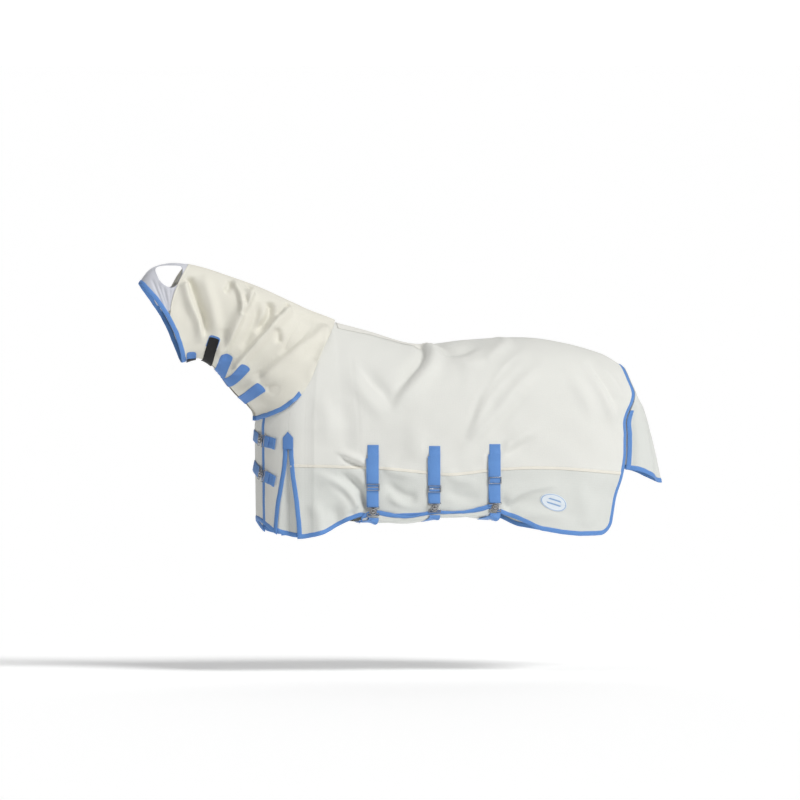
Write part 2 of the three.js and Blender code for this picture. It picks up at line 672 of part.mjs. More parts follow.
// Chest closures: strap and hook on the near panel, slot plate and strap on the far one
closureHeights.forEach((z, i) => {
  const name = ["upper", "lower"][i];
  const u = closureU + uTape(closureU) + 0.02;
  const v = vAt(u, z);
  const up = body(u + 0.004, v + 0.0002).sub(body(u - 0.004, v - 0.0002));
  const group = frameOn(body(u, v), up, inwardAt(u, v));
  const dip = dipUnder(group, (dv, z) => aroundChest(u + uFor(u, v, z), v + vFor(u, v, dv)));
  add("chest_strap_near_" + name, loopedStrap(nearStrapLength, 30, dip), "blue", group);
  add("chest_hook_" + name, hookShape(), "nickel", group, true);
  add("chest_plate_" + name, plateShape(), "nickel", group, true);
  const points = [];
  for (let k = 0; k <= 6; k += 1) {
    const reach = -46 - k / 6 * farStrapLength;
    const lift = lerp(plateLift + 0.5, cloth + 2 * sewnLift, smooth(0, 0.3, k / 6));
    points.push([-lift + dip(reach), reach]);
  }
  add("chest_strap_far_" + name, webbing(points), "blue", group);
});

// Neck cover: two panels, the stretch poll piece round the ears, bound face opening and bib edges
const faceTape = (v) => qFor(0.02, v, bindingWidth);
const pollEdge = (v) => lerp(pollSeam, pollEnd, Math.min(Math.abs(v) / pollDown, 1) ** 2);
const neckFrom = (v) => (v < pollDown + 0.01 ? pollEdge(v) : faceTape(v)) + 0.004;
const bibTape = (v) => qFor(0.985, v, bindingWidth) * smooth(seamFrom - 0.04, seamFrom, v);
const neckAt = (a, b) => {
  const v = lerp(centreSplit, neckSlot, b);
  return neck(lerp(neckFrom(v), 1 - bibTape(v) - 0.003, a), v);
};
const neckPanel = sheet(neckAt, 14, 16, 0, cloth);
addPair("neck_panel", neckPanel, "neckCream");
const pollAt = (a, b) => {
  const v = lerp(-pollDown, pollDown, b);
  return neck(lerp(faceTape(v) + 0.004, pollEdge(v), a), v === 0 ? 1e-6 : v);
};
const earHole = new THREE.CylinderGeometry(1, 1, 400, 20).scale(earHalf[0], 1, earHalf[1])
  .translate(earPlace[0], 0, earPlace[1]);
const pollShell = toSolid(sheet(pollAt, 6, 20, 0, 2));
add("poll_piece", toGeometry(pollShell.subtract(toSolid(earHole))), "poll");
add("face_binding", sheet((a, b) => {
  const v = lerp(-neckSlot, neckSlot, b);
  return neck(a * faceTape(v), v === 0 ? 1e-6 : v);
}, 1, 24, bindingLift, bindingThick), "blue");
addPair("bib_binding", sheet((a, b) => {
  const v = lerp(seamFrom + 0.01, neckSlot, b);
  return neck(lerp(1 - bibTape(v), 1, a), v);
}, 1, 10, bindingLift, bindingThick), "blue");

// Throat tabs, from the throat line up over the near panel
tabPlaces.forEach(({ q, tip }, i) => {
  add("throat_tab_" + (i + 1), sheet((a, b) => {
    const round = a > 0.75 ? Math.sqrt(1 - ((a - 0.75) / 0.29) ** 2) : 1;
    const half = qFor(q, 0.9, tabWidth / 2) * round;
    return neck(q + (b - 0.5) * 2 * half, lerp(0.985, tip, a));
  }, 8, 2, cloth + 2, 2), i === 1 ? "black" : "blue");
});

// The sheet's rear edge at height z
function rearEdge(z) {
  let low = 0.03;
  let high = 1;
  for (let step = 0; step < 30; step += 1) {
    const middle = (low + high) / 2;
    if (body(uRear, middle).z > z) low = middle;
    else high = middle;
  }
  return body(uRear, low);
}

// Tail flap: sewn to the end of the spine, hung round behind the tail. Its middle line's reach is
// counted from the end of the back.
const flapReach = through([[-724, 145], [-507, 100], [-387, 67], [-329, 29], [-262, -1],
  [-204, -22]]);
function flap(a, b) {
  const angle = (a - 0.5) * Math.PI;
  const low = lerp(flapMiddle, flapSide, Math.sin(angle) ** 2);
  const z = lerp(flapTop, low, b);
  const edge = rearEdge(z);
  const middle = backLength + flapReach(z);
  const x = lerp(edge.x + 5, middle, Math.cos(angle) ** 0.9);
  return new THREE.Vector3(x, (edge.y + 7) * Math.sin(angle) * -1, z);
}
const flapA = (a) => lerp(flapInset, 1 - flapInset, a);
const flapCloth = sheet((a, b) => flap(flapA(a), b * (1 - flapTape)), 14, 8, 0, cloth);
add("tail_flap", flapCloth, "cream");
const flapHem = sheet((a, b) => flap(flapA(a), lerp(1 - flapTape + 0.002, 1, b)), 14, 1, bindingLift,
  bindingThick);
add("tail_binding", flapHem, "blue");

// Plain oval label, sewn flat on the near skirt
const labelU = uAt(labelPlace[0]);
const labelV = vAt(labelU, labelPlace[1]);
const labelGroup = frameOn(body(labelU, labelV), body(labelU, labelV - 0.05).sub(body(labelU, labelV)),
  inwardAt(labelU, labelV));
const oval = new THREE.CylinderGeometry(0.5, 0.5, 2, 28).scale(labelSize[0], 1, labelSize[1])
  .rotateY(labelTurn).translate(0, -cloth - 3, 0);
add("label", oval, "label", labelGroup);

export default sheetGroup;
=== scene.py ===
import math

import bmesh
import bpy
import numpy as np
from mathutils import Matrix, Vector


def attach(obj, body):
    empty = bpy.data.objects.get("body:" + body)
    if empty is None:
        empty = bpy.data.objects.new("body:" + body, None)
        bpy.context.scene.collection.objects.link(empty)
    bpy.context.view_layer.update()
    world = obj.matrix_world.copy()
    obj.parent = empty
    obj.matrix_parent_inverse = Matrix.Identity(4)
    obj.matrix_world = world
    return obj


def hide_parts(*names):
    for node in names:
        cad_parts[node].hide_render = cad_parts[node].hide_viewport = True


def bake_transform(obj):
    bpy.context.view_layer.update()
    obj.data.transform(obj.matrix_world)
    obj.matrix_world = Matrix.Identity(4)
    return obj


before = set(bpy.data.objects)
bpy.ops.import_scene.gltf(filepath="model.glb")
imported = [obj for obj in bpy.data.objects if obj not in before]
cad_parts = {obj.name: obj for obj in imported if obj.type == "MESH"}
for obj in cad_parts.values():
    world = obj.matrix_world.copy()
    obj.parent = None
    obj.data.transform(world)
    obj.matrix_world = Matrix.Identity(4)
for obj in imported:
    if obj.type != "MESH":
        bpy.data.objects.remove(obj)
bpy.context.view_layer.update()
print("frame loaded:", len(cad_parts), "nodes")

# Camera, light and floor
viewFrom = {"azimuth": -10, "elevation": 1.5, "distance": 60.0, "lens": 606.5,
            "target": (0.300, -0.054, -0.347)}


def addCamera():
    a, e = math.radians(viewFrom["azimuth"]), math.radians(viewFrom["elevation"])
    back = Vector((math.sin(a) * math.cos(e), -math.cos(a) * math.cos(e), math.sin(e)))
    camera = bpy.data.objects.new("camera", bpy.data.cameras.new("camera"))
    bpy.context.collection.objects.link(camera)
    camera.data.lens = viewFrom["lens"]
    camera.data.clip_end = 5000
    camera.location = Vector(viewFrom["target"]) + back * viewFrom["distance"]
    camera.rotation_euler = (-back).to_track_quat("-Z", "Y").to_euler()
    bpy.context.scene.camera = camera


studio = {
    "floorHeight": -1.56,
    "floorColour": (0.93, 0.93, 0.93),
    "skyLight": 0.15, "skySeen": 3.0, "floorGlow": 0.22,
    "keyPower": 2.4, "keyFrom": (0.80, -1.12, 1.38), "keySpread": 20,
    "topPower": 0.2, "topFrom": (-0.2, -0.3, 1.6), "topSpread": 50,
    "backPower": 0.6, "backFrom": (0.3, 1.5, 0.8), "backSpread": 40,
}


# Lamps shine evenly from a direction, so the floor has no bright pool
def addLamp(name, power, source, spread):
    lamp = bpy.data.lights.new(name, "SUN")
    lamp.energy = power
    lamp.angle = math.radians(spread)
    holder = bpy.data.objects.new(name, lamp)
    bpy.context.collection.objects.link(holder)
    holder.location = Vector(source) * 3
    holder.rotation_euler = (-Vector(source)).to_track_quat("-Z", "Y").to_euler()


def addStudio():
    for name in ("key", "top", "back"):
        addLamp(name, studio[name + "Power"], studio[name + "From"], studio[name + "Spread"])
    bpy.ops.mesh.primitive_plane_add(size=4000, location=(0, 0, studio["floorHeight"]))
    floor = bpy.context.object
    floor.name = "floor"
    paint = bpy.data.materials.new("floorPaint")
    paint.use_nodes = True
    shader = paint.node_tree.nodes["Principled BSDF"]
    shader.inputs["Base Color"].default_value = (*studio["floorColour"], 1)
    shader.inputs["Roughness"].default_value = 0.9
    shader.inputs["Emission Color"].default_value = (1, 1, 1, 1)
    shader.inputs["Emission Strength"].default_value = studio["floorGlow"]
    floor.data.materials.append(paint)
    world = bpy.data.worlds.new("sky")
    world.use_nodes = True
    nodes, links = world.node_tree.nodes, world.node_tree.links
    light = nodes["Background"]
    light.inputs["Color"].default_value = (1, 1, 1, 1)
    light.inputs["Strength"].default_value = studio["skyLight"]
    seen = nodes.new("ShaderNodeBackground")
    seen.inputs["Strength"].default_value = studio["skySeen"]
    mix = nodes.new("ShaderNodeMixShader")
    path = nodes.new("ShaderNodeLightPath")
    links.new(path.outputs["Is Camera Ray"], mix.inputs[0])
    links.new(light.outputs[0], mix.inputs[1])
    links.new(seen.outputs[0], mix.inputs[2])
    links.new(mix.outputs[0], nodes["World Output"].inputs[0])
    bpy.context.scene.world = world
    bpy.context.scene.view_settings.view_transform = "Standard"


addCamera()
addStudio()
print("camera and studio ready")


# Shape of the sheet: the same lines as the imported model, in metres
def lerp(a, b, t):
    return a + (b - a) * t


def smooth(a, b, x):
    t = np.clip((np.asarray(x, float) - a) / (b - a), 0, 1)
    return t * t * (3 - 2 * t)


def through(points):
    xs, ys = np.array([p[0] for p in points], float), np.array([p[1] for p in points], float)
    last = len(xs) - 1
    before, after = np.maximum(np.arange(last + 1) - 1, 0), np.minimum(np.arange(last + 1) + 1, last)
    slopes = (ys[after] - ys[before]) / (xs[after] - xs[before])

    def line(x):
        x = np.asarray(x, float)
        i = np.clip(np.searchsorted(xs, x, side="left") - 1, 0, last - 1)
        span = xs[i + 1] - xs[i]
        t = np.clip((x - xs[i]) / span, 0, 1)
        bend = slopes[i] * span * t * (1 - t) ** 2 - slopes[i + 1] * span * t * t * (1 - t)
        return ys[i] + (ys[i + 1] - ys[i]) * t * t * (3 - 2 * t) + bend

    return line


body = {
    "backLength": 1.345, "barrelWidth": 0.61, "chestDepth": 0.222, "shoulderX": -0.12,
    "chestWidth": 0.47, "widestLevel": -0.47, "sideTaper": 0.975, "widestShare": 0.5,
    "necklineX": -0.338, "necklineZ": -0.395, "necklineHalf": 0.132,
    "wrapFront": 0.078, "wrapRear": 0.705, "cornerRadius": 0.062,
    "gussetTop": -0.552, "gussetLine": 0.67, "gussetFront": 0.5, "gussetRear": 0.79,
    "closureU": 0.235, "clothThick": 0.0012, "clothLift": 0.0006,
}
half = body["barrelWidth"] / 2
chestX = body["shoulderX"] - body["chestDepth"]
wrapFront, wrapRear, backLength = body["wrapFront"], body["wrapRear"], body["backLength"]
spine = through([(0, 0), (0.12, -0.043), (0.28, -0.101), (0.46, -0.082), (0.65, -0.073), (0.8, -0.101),
                 (0.93, -0.147), (0.98, -0.183), (1, -0.2)])
hem = through([(chestX, -0.879), (0.8 * chestX, -0.94), (0.56 * chestX, -0.957), (0.23 * chestX, -0.935),
               (-0.003, -0.895), (wrapFront - 0.031, -0.871), (wrapFront + 0.016, -0.856),
               (wrapFront + 0.083, -0.848), (wrapRear - 0.207, -0.836), (wrapRear - 0.059, -0.834),
               (wrapRear + 0.008, -0.848), (wrapRear + 0.115, -0.888), (wrapRear + 0.196, -0.924),
               ((wrapRear + 0.196 + backLength) / 2, -0.948), (backLength, -0.948)])
breadth = through([(-0.35, body["chestWidth"] / 2), (0.07, 0.885 * half), (0.3, half), (0.52, half),
                   (0.7, 0.95 * half), (0.86, 0.84 * half), (0.94, 0.7 * half), (1, 0.5 * half)])
backShape = through([(0, 1.6), (0.3, 2.1), (0.6, 2.3), (1, 2.2)])
rearShape = through([(-0.948, -0.11), (-0.792, -0.086), (-0.658, -0.048), (-0.507, -0.038), (-0.44, -0.041),
                     (-0.329, 0.002), (-0.263, -0.015), (-0.191, -0.033)])
panelSeam = through([(-0.6, -0.632), (0.1, -0.641), (0.28, -0.663), (0.36, -0.672), (0.5, -0.654),
                     (0.62, -0.645), (0.75, -0.65), (1, -0.68)])
uWithers = 1 - body["shoulderX"]
uRear = uWithers + backLength


def uAt(x):
    return 1 + (x - body["shoulderX"])


def along(x):
    return np.where(x < 0, x / (body["chestDepth"] - body["shoulderX"]), x / backLength)


def widePlace(u):
    turn = np.minimum(u, 1) * math.pi / 2
    return np.where(u < 1, body["shoulderX"] - body["chestDepth"] * np.cos(turn), body["shoulderX"] + u - 1)


def wideHalf(u):
    plain = lambda k: np.where(k < 1, np.sin(np.minimum(k, 1) * math.pi / 2) * body["chestWidth"] / 2,
                               breadth(along(widePlace(k))))
    evened = sum(plain(u + k) for k in (-0.12, -0.08, -0.04, 0, 0.04, 0.08, 0.12)) / 7
    return lerp(plain(u), evened, smooth(0.72, 0.9, u) * smooth(1.24, 1.12, u))


# Inner face of the near side: u runs round the chest and along the side, v from the spine to the hem.
# A negative u is the same place on the far side.
def bodyPoint(u, v):
    u, v = np.broadcast_arrays(np.asarray(u, float), np.asarray(v, float))
    side, u, v = np.where(u < 0, -1.0, 1.0), np.abs(u), np.maximum(v, 1e-5)
    wideX = widePlace(u)
    wideY = wideHalf(u)
    t = u / uWithers
    front = np.minimum(t, 1)
    topX = np.where(t < 1, lerp(body["necklineX"], 0, front), wideX)
    topY = np.where(t < 1, body["necklineHalf"] * np.maximum(np.sin(math.pi * front), 0) ** 0.8, 0)
    topZ = np.where(t < 1, lerp(body["necklineZ"], 0, front), spine(along(wideX)))
    shape = 2 / backShape(np.maximum(along(topX), 0))
    angle = np.minimum(v / body["widestShare"], 1) * math.pi / 2
    out = np.sin(angle) ** shape
    drop = np.maximum(v - body["widestShare"], 0) / (1 - body["widestShare"])
    taper = lerp(1, body["sideTaper"], drop)
    above = lerp(body["widestLevel"], topZ, np.maximum(np.cos(angle), 0) ** shape)
    z = np.where(v < body["widestShare"], above, lerp(body["widestLevel"], hem(wideX), drop))
    rear = smooth(0.66, 1, along(wideX)) * rearShape(z)
    x = lerp(topX, body["shoulderX"] + (wideX - body["shoulderX"]) * np.where(u < 1, taper, 1), out) + rear
    return np.stack([x, -side * lerp(topY, wideY * taper, out), z], -1)


def crossed(alongA, alongB):
    n = np.cross(alongB, alongA)
    return n / np.maximum(np.linalg.norm(n, axis=-1, keepdims=True), 1e-12)


def bodyNormal(u, v):
    e = 0.003
    v = np.maximum(v, e + 1e-4)
    return crossed(bodyPoint(u + e, v) - bodyPoint(u - e, v), bodyPoint(u, v + e) - bodyPoint(u, v - e))


def stepU(u, v, distance):
    return distance * 0.002 / np.linalg.norm(bodyPoint(u + 0.001, v) - bodyPoint(u - 0.001, v), axis=-1)


def stepV(u, v, distance):
    return distance * 0.002 / np.linalg.norm(bodyPoint(u, v + 0.001) - bodyPoint(u, v - 0.001), axis=-1)


def vAt(u, z):
    share = (z - body["widestLevel"]) / (hem(widePlace(np.asarray(u, float))) - body["widestLevel"])
    return lerp(body["widestShare"], 1, share)


# A fold is a soft ridge (or, with a negative height, a valley) along a line in side view
def foldLine(points, steps=14):
    p = np.array([points[0]] + list(points) + [points[-1]], float)
    line = []
    for i in range(1, len(p) - 2):
        for t in np.linspace(0, 1, max(steps // (len(p) - 3), 3), endpoint=False):
            line.append(0.5 * ((2 * p[i]) + (p[i + 1] - p[i - 1]) * t
                        + (2 * p[i - 1] - 5 * p[i] + 4 * p[i + 1] - p[i + 2]) * t * t
                        + (3 * p[i] - p[i - 1] - 3 * p[i + 1] + p[i + 2]) * t ** 3))
    line.append(p[-1])
    return np.array(line)


# Each fold: line, height, width, skew (how much sharper its left side is), fade at its start and end
def foldField(x, z, folds):
    total = np.zeros(np.shape(x))
    for points, height, width, skew, fadeStart, fadeEnd in folds:
        line = foldLine(points)
        reach = 3.2 * width
        near = ((x > line[:, 0].min() - reach) & (x < line[:, 0].max() + reach)
                & (z > line[:, 1].min() - reach) & (z < line[:, 1].max() + reach))
        if not near.any():
            continue
        px, pz = x[near], z[near]
        best = np.full(px.shape, 1e9)
        where = np.zeros(px.shape)
        side = np.zeros(px.shape)
        for k in range(len(line) - 1):
            dx, dz = line[k + 1] - line[k]
            long2 = dx * dx + dz * dz + 1e-12
            t = np.clip(((px - line[k, 0]) * dx + (pz - line[k, 1]) * dz) / long2, 0, 1)
            ex, ez = px - line[k, 0] - t * dx, pz - line[k, 1] - t * dz
            d2 = ex * ex + ez * ez
            closer = d2 < best
            best = np.where(closer, d2, best)
            where = np.where(closer, (k + t) / (len(line) - 1), where)
            side = np.where(closer, np.sign(dx * ez - dz * ex), side)
        spread = width * (1 + skew * side)
        fade = smooth(0, max(fadeStart, 1e-3), where) if fadeStart else 1.0
        fade = fade * (smooth(0, max(fadeEnd, 1e-3), 1 - where) if fadeEnd else 1.0)
        total[near] += height * fade * np.exp(-best / spread ** 2)
    return total


def ripple(x, z, turn, pitch, height, seed):
    c, s = math.cos(turn), math.sin(turn)
    a, b = c * x + s * z, c * z - s * x
    warp = 0.35 * pitch * np.sin(b / pitch * 0.9 + seed) + 0.2 * pitch * np.sin(b / pitch * 2.3 + 2 * seed)
    level = 0.5 + 0.5 * np.sin(a / pitch * 0.31 + b / pitch * 0.43 + 3 * seed)
    return height * level * np.sin((a + warp) / pitch * 2 * math.pi)


bodyFolds = [
    # from the back down to the girth
    ([(0.40, -0.085), (0.375, -0.165), (0.30, -0.245), (0.225, -0.315)], -0.010, 0.020, -0.45, 0.05, 0.5),
    ([(0.455, -0.095), (0.41, -0.19), (0.33, -0.275), (0.25, -0.35), (0.20, -0.43)], 0.010, 0.034, 0.2, 0.05,
     0.5),
    ([(0.08, -0.16), (0.14, -0.25), (0.20, -0.32), (0.235, -0.40)], -0.006, 0.026, 0.3, 0.4, 0.5),
    ([(0.03, -0.20), (0.09, -0.30), (0.16, -0.38), (0.22, -0.46)], 0.006, 0.034, 0, 0.4, 0.5),
    ([(0.34, -0.20), (0.26, -0.30), (0.21, -0.40)], -0.005, 0.018, 0, 0.4, 0.6),
    # along the back
    ([(0.42, -0.09), (0.47, -0.125), (0.54, -0.138), (0.62, -0.11), (0.70, -0.09)], -0.009, 0.020, 0.2, 0.3,
     0.4),
    ([(0.50, -0.15), (0.58, -0.18), (0.66, -0.17)], 0.005, 0.028, 0, 0.4, 0.4),
    ([(0.80, -0.075), (0.72, -0.12), (0.62, -0.19)], 0.006, 0.022, 0, 0.3, 0.6),
    # long soft folds from the croup to the flank
    ([(0.88, -0.10), (0.74, -0.20), (0.64, -0.33), (0.59, -0.46), (0.555, -0.52)], 0.007, 0.026, 0.35, 0.3,
     0.3),
    ([(0.84, -0.13), (0.70, -0.25), (0.61, -0.37), (0.57, -0.47)], -0.006, 0.020, 0, 0.3, 0.4),
    ([(0.95, -0.16), (0.80, -0.27), (0.70, -0.38), (0.60, -0.49), (0.52, -0.57)], 0.006, 0.030, 0.3, 0.3,
     0.4),
    ([(0.91, -0.24), (0.78, -0.36), (0.68, -0.46), (0.58, -0.55)], -0.005, 0.022, 0, 0.4, 0.4),
    ([(0.93, -0.42), (0.80, -0.50), (0.69, -0.57), (0.58, -0.62)], 0.006, 0.026, 0.3, 0.4, 0.4),
    ([(0.88, -0.50), (0.78, -0.56), (0.66, -0.62)], -0.005, 0.020, 0, 0.4, 0.5),
    # rump
    ([(1.06, -0.15), (1.16, -0.27), (1.22, -0.39), (1.245, -0.50)], 0.006, 0.024, 0, 0.4, 0.4),
    ([(1.11, -0.17), (1.20, -0.29), (1.26, -0.41)], -0.006, 0.018, 0, 0.4, 0.4),
    ([(1.00, -0.19), (1.09, -0.32), (1.15, -0.46)], 0.005, 0.030, 0, 0.4, 0.5),
    ([(1.17, -0.17), (1.25, -0.27), (1.29, -0.36)], 0.005, 0.018, 0, 0.3, 0.3),
    # drag towards the first strap
    ([(-0.03, -0.56), (0.04, -0.595), (0.115, -0.625)], 0.007, 0.016, 0.3, 0.5, 0.2),
    ([(-0.02, -0.585), (0.05, -0.62), (0.11, -0.65)], -0.006, 0.014, 0, 0.5, 0.2),
    ([(-0.14, -0.66), (-0.04, -0.70), (0.03, -0.755), (0.075, -0.83)], 0.012, 0.030, -0.35, 0.4, 0.1),
    ([(-0.08, -0.70), (0.0, -0.745), (0.045, -0.80), (0.06, -0.86)], -0.010, 0.022, 0, 0.4, 0.1),
    ([(-0.02, -0.66), (0.05, -0.70), (0.10, -0.76), (0.115, -0.83)], -0.013, 0.024, -0.3, 0.4, 0.0),
    ([(0.20, -0.76), (0.28, -0.815), (0.36, -0.83)], 0.006, 0.018, 0, 0.3, 0.3),
    ([(0.19, -0.70), (0.27, -0.76), (0.34, -0.775)], -0.006, 0.022, 0, 0.3, 0.3),
    ([(0.18, -0.64), (0.26, -0.67), (0.35, -0.675)], 0.005, 0.020, 0, 0.3, 0.4),
    # between the second and third straps, and behind the third
    ([(0.46, -0.66), (0.53, -0.70), (0.61, -0.70)], 0.005, 0.024, 0, 0.4, 0.4),
    ([(0.45, -0.73), (0.53, -0.77), (0.62, -0.77)], -0.005, 0.026, 0, 0.4, 0.4),
    ([(0.725, -0.80), (0.80, -0.755), (0.90, -0.73), (0.98, -0.725)], 0.007, 0.022, 0.3, 0.2, 0.5),
    ([(0.725, -0.84), (0.80, -0.80), (0.90, -0.79)], -0.007, 0.024, 0, 0.2, 0.5),
    ([(0.74, -0.87), (0.83, -0.85), (0.95, -0.86), (1.06, -0.90)], 0.006, 0.026, 0, 0.3, 0.5),
    ([(1.05, -0.70), (1.10, -0.80), (1.12, -0.92)], 0.005, 0.040, 0, 0.4, 0.2),
    ([(-0.13, -0.78), (-0.10, -0.86), (-0.09, -0.95)], 0.008, 0.030, 0, 0.4, 0.0),
    ([(-0.05, -0.80), (-0.02, -0.86), (-0.01, -0.92)], -0.006, 0.028, 0, 0.4, 0.0),
    # behind the shoulder
    ([(-0.10, -0.30), (-0.06, -0.42), (-0.07, -0.55)], 0.004, 0.040, 0, 0.4, 0.4),
    ([(0.00, -0.34), (0.03, -0.47), (0.01, -0.60)], -0.004, 0.040, 0, 0.4, 0.4),
    ([(0.30, -0.40), (0.33, -0.52), (0.31, -0.62)], 0.004, 0.045, 0, 0.4, 0.4),
]


def bodyFold(x, z):
    wave = 1.9 * foldField(x, z, bodyFolds)
    for place in (0.140, 0.4115, 0.683):
        pressed = smooth(0.060, 0.030, np.abs(x - place)) * smooth(-0.50, -0.535, z)
        wave = np.where(wave > 0, wave * (1 - 0.8 * pressed), wave)
    underWrap = smooth(wrapFront - 0.06, wrapFront, x) * smooth(wrapRear + 0.06, wrapRear, x) * smooth(-0.79,
        -0.835, z)
    wave = wave * (1 - 0.85 * underWrap)
    closing = smooth(-0.19, -0.25, x) * smooth(-0.40, -0.46, z)
    wave = wave * (1 - 0.7 * closing)
    wave += ripple(x, z, 0.9, 0.145, 0.0013, 1.7) + ripple(x, z, -0.7, 0.093, 0.0008, 4.1)
    crease = np.exp(-((x - 0.07 - 0.01 * np.sin(9 * z)) / 0.004) ** 2) * smooth(-0.08, -0.2, z)
    return wave - 0.0012 * crease * smooth(-0.64, -0.5, z)


# Outer look of the body cloth, off the inner face by lift
def bodySkin(u, v, lift=0.0):
    u, v = np.broadcast_arrays(np.asarray(u, float), np.asarray(v, float))
    point, normal = bodyPoint(u, v), bodyNormal(u, v)
    wave = bodyFold(point[..., 0], point[..., 2]) * smooth(0.0, 0.05, v) * smooth(0.12, 0.5, np.abs(u))
    return point + normal * (wave + lift)[..., None], normal


# Mesh makers
def newMesh(name, points, faces, uv=None, smoothShade=True):
    data = bpy.data.meshes.new(name)
    data.from_pydata([tuple(p) for p in points], [], faces)
    if uv is not None:
        layer = data.uv_layers.new(name="UVMap")
        corners = np.zeros(len(data.loops), int)
        data.loops.foreach_get("vertex_index", corners)
        layer.data.foreach_set("uv", np.asarray(uv, float)[corners].ravel())
    data.polygons.foreach_set("use_smooth", [smoothShade] * len(data.polygons))
    data.update()
    piece = bpy.data.objects.new(name, data)
    bpy.context.collection.objects.link(piece)
    return piece


def gridFaces(rows, columns, flip=False, closed=False):
    faces = []
    for i in range(rows - 1):
        for j in range(columns if closed else columns - 1):
            k = (j + 1) % columns
            quad = (i * columns + j, i * columns + k, (i + 1) * columns + k, (i + 1) * columns + j)
            faces.append(quad[::-1] if flip else quad)
    return faces


def mirrorY(points):
    return points * np.array([1, -1, 1])


def pickOnly(piece):
    bpy.ops.object.select_all(action="DESELECT")
    piece.select_set(True)
    bpy.context.view_layer.objects.active = piece


def thicken(piece, thickness):
    pickOnly(piece)
    wall = piece.modifiers.new("wall", "SOLIDIFY")
    wall.thickness = thickness
    wall.offset = 1
    bpy.ops.object.modifier_apply(modifier="wall")


def gridUv(points):
    da = np.linalg.norm(np.diff(points, axis=0), axis=-1)
    db = np.linalg.norm(np.diff(points, axis=1), axis=-1)
    a = np.concatenate([np.zeros((1, points.shape[1])), np.cumsum(da, 0)], 0)
    b = np.concatenate([np.zeros((points.shape[0], 1)), np.cumsum(db, 1)], 1)
    return np.stack([a, b], -1)


# A cloth panel from a grid of places; points run a (along) by b (down), with outward normals
def clothPanel(name, points, finish, far=False, thickness=body["clothThick"], uv=None):
    uv = gridUv(points) if uv is None else uv
    if far:
        points = mirrorY(points)
    faces = gridFaces(points.shape[0], points.shape[1], flip=far)
    piece = newMesh(name, points.reshape(-1, 3), faces, uv.reshape(-1, 2))
    thicken(piece, thickness)
    piece.data.materials.append(finish)
    return piece


# Tape folded over an edge: section points are (distance in from the edge, height)
tape = {"width": 0.02, "thick": 0.0044, "under": -0.0012}


def tapeSection(width, thick, under):
    t, low = thick, under
    return [(width, low + t * 0.62), (width - 0.0012, low + t), (width * 0.55, low + t * 1.06),
            (0.0016, low + t * 0.96),
            (-0.0007, low + t * 0.7), (-0.0010, low + t * 0.4), (0.0002, low + t * 0.08), (0.002, low),
            (width * 0.55, low - t * 0.05), (width - 0.0012, low), (width, low + t * 0.3)]


def sweepSection(name, edge, inward, normal, section, finish, far=False, closedPath=False):
    section = np.array(section, float)
    rows = edge[:, None, :] + inward[:, None, :] * section[None, :, :1] + normal[:, None, :] * section[None,
            :, 1:]
    return sweepRows(name, edge, rows, section, finish, far, closedPath)


def sweepRows(name, edge, rows, section, finish, far=False, closedPath=False):
    count = len(section)
    lengths = np.concatenate([[0], np.cumsum(np.linalg.norm(np.diff(edge, axis=0), axis=-1))])
    around = np.concatenate([[0], np.cumsum(np.linalg.norm(np.diff(section, axis=0), axis=-1))])
    uv = np.stack(np.broadcast_arrays(lengths[:, None], around[None, :]), -1)
    if far:
        rows = mirrorY(rows)
    faces = gridFaces(len(rows), count, closed=True)
    if closedPath:
        last = (len(edge) - 1) * count
        faces += [(last + j, last + (j + 1) % count, (j + 1) % count, j) for j in range(count)]
    else:
        faces += [tuple(range(count))[::-1], tuple(range((len(edge) - 1) * count, len(edge) * count))]
    piece = newMesh(name, rows.reshape(-1, 3), faces, uv.reshape(-1, 2))
    work = bmesh.new()
    work.from_mesh(piece.data)
    bmesh.ops.recalc_face_normals(work, faces=work.faces)
    work.to_mesh(piece.data)
    work.free()
    piece.data.materials.append(finish)
    return piece


def unit(vectors):
    return vectors / np.maximum(np.linalg.norm(vectors, axis=-1, keepdims=True), 1e-12)


# skin(a, b, lift) gives points and normals; edge and inner are the two lines of the tape in its own places
def bindEdge(name, skin, edge, inner, finish, far=False, width=None, pucker=0.0005):
    edge, inner = [np.asarray(k, float) for k in edge], [np.asarray(k, float) for k in inner]
    lines = [skin(lerp(edge[0], inner[0], t), lerp(edge[1], inner[1], t), 0.0) for t in (0, 0.5, 1)]
    p0, p1, p2 = (line[0] for line in lines)
    inward = unit(p2 - p0)
    length = np.concatenate([[0], np.cumsum(np.linalg.norm(np.diff(p0, axis=0), axis=-1))])
    wobble = pucker * (np.sin(length / 0.031 + 1) + 0.7 * np.sin(length / 0.0137 + 2.3) + 0.5
                       * np.sin(length / 0.0071))
    section = np.array(tapeSection(width or tape["width"], tape["thick"], tape["under"]), float)
    t = np.clip(section[:, 0] / np.linalg.norm(p2 - p0, axis=-1)[:, None], 0, 1)[..., None]
    rows = p0[:, None] * (1 - t) * (1 - 2 * t) + p1[:, None] * 4 * t * (1 - t) + p2[:, None] * t * (2 * t - 1)
    rows += inward[:, None] * np.minimum(section[:, 0], 0)[None, :, None]
    normal = unit(lines[0][1][:, None] * (1 - t) + lines[2][1][:, None] * t)
    rows += normal * (section[:, 1][None, :, None] + np.maximum(wobble, -0.0002)[:, None, None] * 0.6)
    rows += inward[:, None] * wobble[:, None, None] * 0.6
    return sweepRows(name, p0, rows, section, finish, far)


def joinPieces(name, pieces):
    bpy.ops.object.select_all(action="DESELECT")
    for piece in pieces:
        piece.select_set(True)
    bpy.context.view_layer.objects.active = pieces[0]
    if len(pieces) > 1:
        bpy.ops.object.join()
    pieces[0].name = name
    pieces[0].data.name = name
    return pieces[0]


print("shape tools ready")


